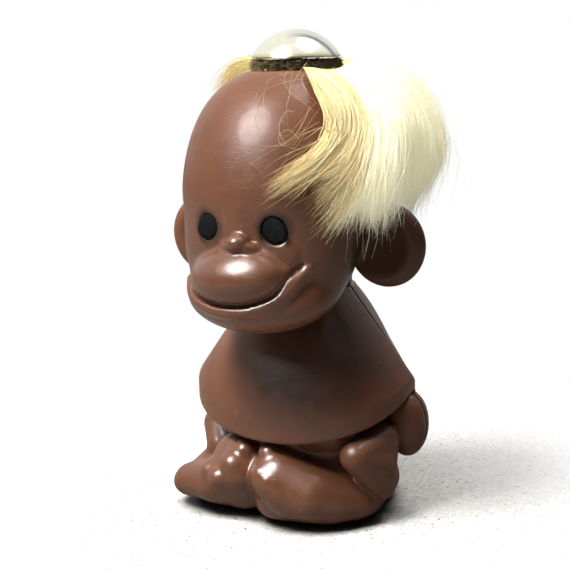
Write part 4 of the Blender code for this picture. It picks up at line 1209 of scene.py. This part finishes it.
# Name, place, target, diameter and power in watts, and whether it lights surfaces and shows in their gloss
LAMPS = (
    ("key", (-0.33, -0.48, 1.06), (0, -0.01, 0.06), 0.5, 27.0, True, False),
    ("shine", (-0.33, -0.74, 0.95), (0, -0.01, 0.06), 0.7, 44.0, False, True),
    ("top", (0.26, 0.26, 1.12), (0, 0, 0.06), 0.6, 8.0, True, True),
)


class MONKEY_OT_stage(bpy.types.Operator):
    """Sets the camera, the lamps, the white surround and the floor"""
    bl_idname = "monkey.stage"
    bl_label = "Stage"

    def execute(self, context):
        s = context.scene.monkey_stage
        context.scene.view_settings.view_transform = "Standard"
        make_camera(context)
        make_world(context, s.fill)
        make_floor()
        for lamp in LAMPS:
            make_lamp(context, s.key, *lamp)
        return {"FINISHED"}


def make_lamp(context, strength, name, place, target, size, power, lights, shines):
    """A round lamp. One that only shines is the window seen in the gloss; one that only lights lights the
    room."""
    data = bpy.data.lights.new(name, "AREA")
    data.shape = "DISK"
    data.size = size
    data.energy = power * strength
    lamp = bpy.data.objects.new(name, data)
    lamp.location = place
    lamp.rotation_euler = (Vector(target) - Vector(place)).to_track_quat("-Z", "Y").to_euler()
    lamp.visible_diffuse = lights
    lamp.visible_glossy = shines
    context.scene.collection.objects.link(lamp)


# Stage

# The photograph's camera: metres and degrees, its roll in radians, and the focal length, width and shift in
# pixels of the square picture; then the sensor's width and half the floor's side in millimetres
CAMERA_DISTANCE = 0.212
CAMERA_HEIGHT = 0.088
CAMERA_YAW = 27
CAMERA_TILT = 12
CAMERA_ROLL = 0.0227
FOCAL_LENGTH = 1141
PICTURE_WIDTH = 570
PICTURE_SHIFT = 15.9
SENSOR_WIDTH = 36.0
FLOOR_HALF = 3000.0


def make_camera(context):
    """The photograph's view: from the monkey's left, a little above, turned slightly about its line of
    sight."""
    yaw, tilt = math.radians(CAMERA_YAW), math.radians(CAMERA_TILT)
    right = Vector((math.cos(yaw), math.sin(yaw), 0))
    towards = Vector((math.sin(yaw), -math.cos(yaw), 0))
    forward = -towards * math.cos(tilt) - Vector((0, 0, math.sin(tilt)))
    shift = PICTURE_SHIFT / FOCAL_LENGTH * CAMERA_DISTANCE
    centre = towards * CAMERA_DISTANCE + Vector((0, CROWN_Y * MM, CAMERA_HEIGHT)) - right * shift
    spin = Matrix.Rotation(CAMERA_ROLL, 3, forward)
    basis = Matrix((spin @ right, spin @ right.cross(forward), -forward)).transposed().to_4x4()
    data = bpy.data.cameras.new("photo_view")
    data.sensor_width = SENSOR_WIDTH
    data.lens = FOCAL_LENGTH / PICTURE_WIDTH * SENSOR_WIDTH
    data.clip_start = 0.005
    data.clip_end = 20.0
    camera = bpy.data.objects.new("photo_view", data)
    camera.matrix_world = Matrix.Translation(centre) @ basis
    context.scene.collection.objects.link(camera)
    context.scene.camera = camera


def make_world(context, fill):
    """White where the camera sees it. Reflections see a white room above and behind the object and a darker
    one below and in front of it, and the room lights the object faintly."""
    n = Nodes(bpy.data.worlds.new("white surround"), "Background")
    rays = n.add("LightPath").outputs
    ahead = n.add(
        "VectorMath", n.add("TexCoord").outputs["Generated"], (-0.3, 0.4, 0.85), operation="DOT_PRODUCT")
    room = n.add("MapRange", ahead, -0.1, 0.75, 0.04, 1.0, interpolation_type="SMOOTHSTEP")
    shine = n.math("MAXIMUM", rays["Is Glossy Ray"], rays["Is Transmission Ray"])
    lit = n.add("Mix", shine, A=fill, B=room).outputs[0]
    n.surface(Color=(1, 1, 1, 1), Strength=n.math("MAXIMUM", lit, rays["Is Camera Ray"]))
    context.scene.world = n.owner


def make_floor():
    """A level pale cloth: a square grid of points, with a faint woven tone near the object that fades to
    white. Painted light on it: a contact shadow round the object, a grey cloth in reflections, and bounce
    light that is bright in front of the object and to the monkey's right and faint elsewhere."""
    line = np.linspace(-FLOOR_HALF, FLOOR_HALF, 9)
    x, y = np.meshgrid(line, line, indexing="ij")
    points = np.stack([x, y, np.full_like(x, -0.02)], -1).reshape(-1, 3)
    floor = mesh_piece("floor", points, grid_faces(9, 9, closed=False))
    n = Nodes(bpy.data.materials.new("pale cloth floor"))
    place = n.place()
    rays = n.add("LightPath").outputs
    threads = (n.noise(n.place((0, 0, 0.5), scale), 260.0) for scale in ((1, 7, 1), (7, 1, 1)))
    weave = n.math("MULTIPLY", *threads)
    cloth = n.ramp(weave, (0.12, (0.62, 0.59, 0.54)), (0.34, (0.88, 0.87, 0.84)))
    specks = n.ramp(n.cells(place, 1100.0), (0.2, 1.0), (0.32, 0.0))
    specks = n.math("MULTIPLY", specks, n.ramp(n.noise(place, 700.0, 1.0), (0.56, 0.0), (0.6, 1.0)))
    spotted = n.blend(specks, cloth, (0.2, 0.15, 0.08))
    # Painted contact shadow: the cloth goes near-black where the object is close
    painted_contact_shadow = n.add("AmbientOcclusion", Distance=0.0045, samples=16).outputs["AO"]
    shaded = n.blend(n.ramp(painted_contact_shadow, (0.3, 0.1), (0.8, 1.0)), (0.012, 0.01, 0.008), spotted)
    # Painted shade: reflections see the cloth grey
    painted_dark_gloss = n.blend(rays["Is Glossy Ray"], shaded, (0.25, 0.24, 0.22))
    # Painted light: the cloth lights the object brightly from the front and the monkey's right, faintly
    # elsewhere
    ahead = n.add("VectorMath", place, (-0.6, -0.8, 0.0), operation="DOT_PRODUCT")
    ahead = n.add("MapRange", ahead, -0.02, 0.05)
    painted_bounce = n.ramp(ahead, (0.0, (0.06, 0.058, 0.055)), (1.0, (0.5, 0.47, 0.42)))
    n.surface(Base_Color=n.blend(rays["Is Diffuse Ray"], painted_dark_gloss, painted_bounce), Roughness=0.9, Specular_IOR_Level=0.1)
    n.relief((weave, 0.5, 0.3))
    fade = n.add("MapRange", n.add("VectorMath", place, operation="LENGTH"), 0.022, 0.075)
    glow = n.add("Emission", (1, 1, 1, 1))
    mix = n.add("MixShader", n.math("MULTIPLY", fade, rays["Is Camera Ray"]), n.shader, glow)
    n.feed(n.tree.nodes["Material Output"].inputs["Surface"], mix)
    floor.data.materials.append(n.owner)


class MONKEY_PT_finish(bpy.types.Panel):
    """Lists the pieces of the toy monkey and their settings"""
    bl_label = "Toy Monkey"
    bl_idname = "MONKEY_PT_finish"
    bl_space_type = "VIEW_3D"
    bl_region_type = "UI"
    bl_category = "Toy Monkey"

    def draw(self, context):
        for key, group in GROUPS.items():
            box = self.layout.box()
            for name in group.__annotations__:
                box.prop(getattr(context.scene, key), name)
        for operator in OPERATORS:
            self.layout.operator(operator.bl_idname)


OPERATORS = (
    MONKEY_OT_stage, MONKEY_OT_head, MONKEY_OT_body, MONKEY_OT_eyes,
    MONKEY_OT_cap, MONKEY_OT_hide, MONKEY_OT_fur, MONKEY_OT_hidden,
)
CLASSES = (*GROUPS.values(), *OPERATORS, MONKEY_PT_finish)


def register():
    for item in CLASSES:
        bpy.utils.register_class(item)
    for key, group in GROUPS.items():
        setattr(bpy.types.Scene, key, PointerProperty(type=group))


def unregister():
    for key in GROUPS:
        delattr(bpy.types.Scene, key)
    for item in reversed(CLASSES):
        bpy.utils.unregister_class(item)


def write_sizes():
    """Brings the view layer up to date."""
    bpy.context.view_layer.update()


def main():
    register()
    bpy.ops.monkey.stage()
    bpy.ops.monkey.head()
    bpy.ops.monkey.body()
    bpy.ops.monkey.eyes()
    bpy.ops.monkey.cap()
    bpy.ops.monkey.hide()
    bpy.ops.monkey.fur()
    bpy.ops.monkey.hidden()
    write_sizes()


if __name__ == "__main__":
    main()
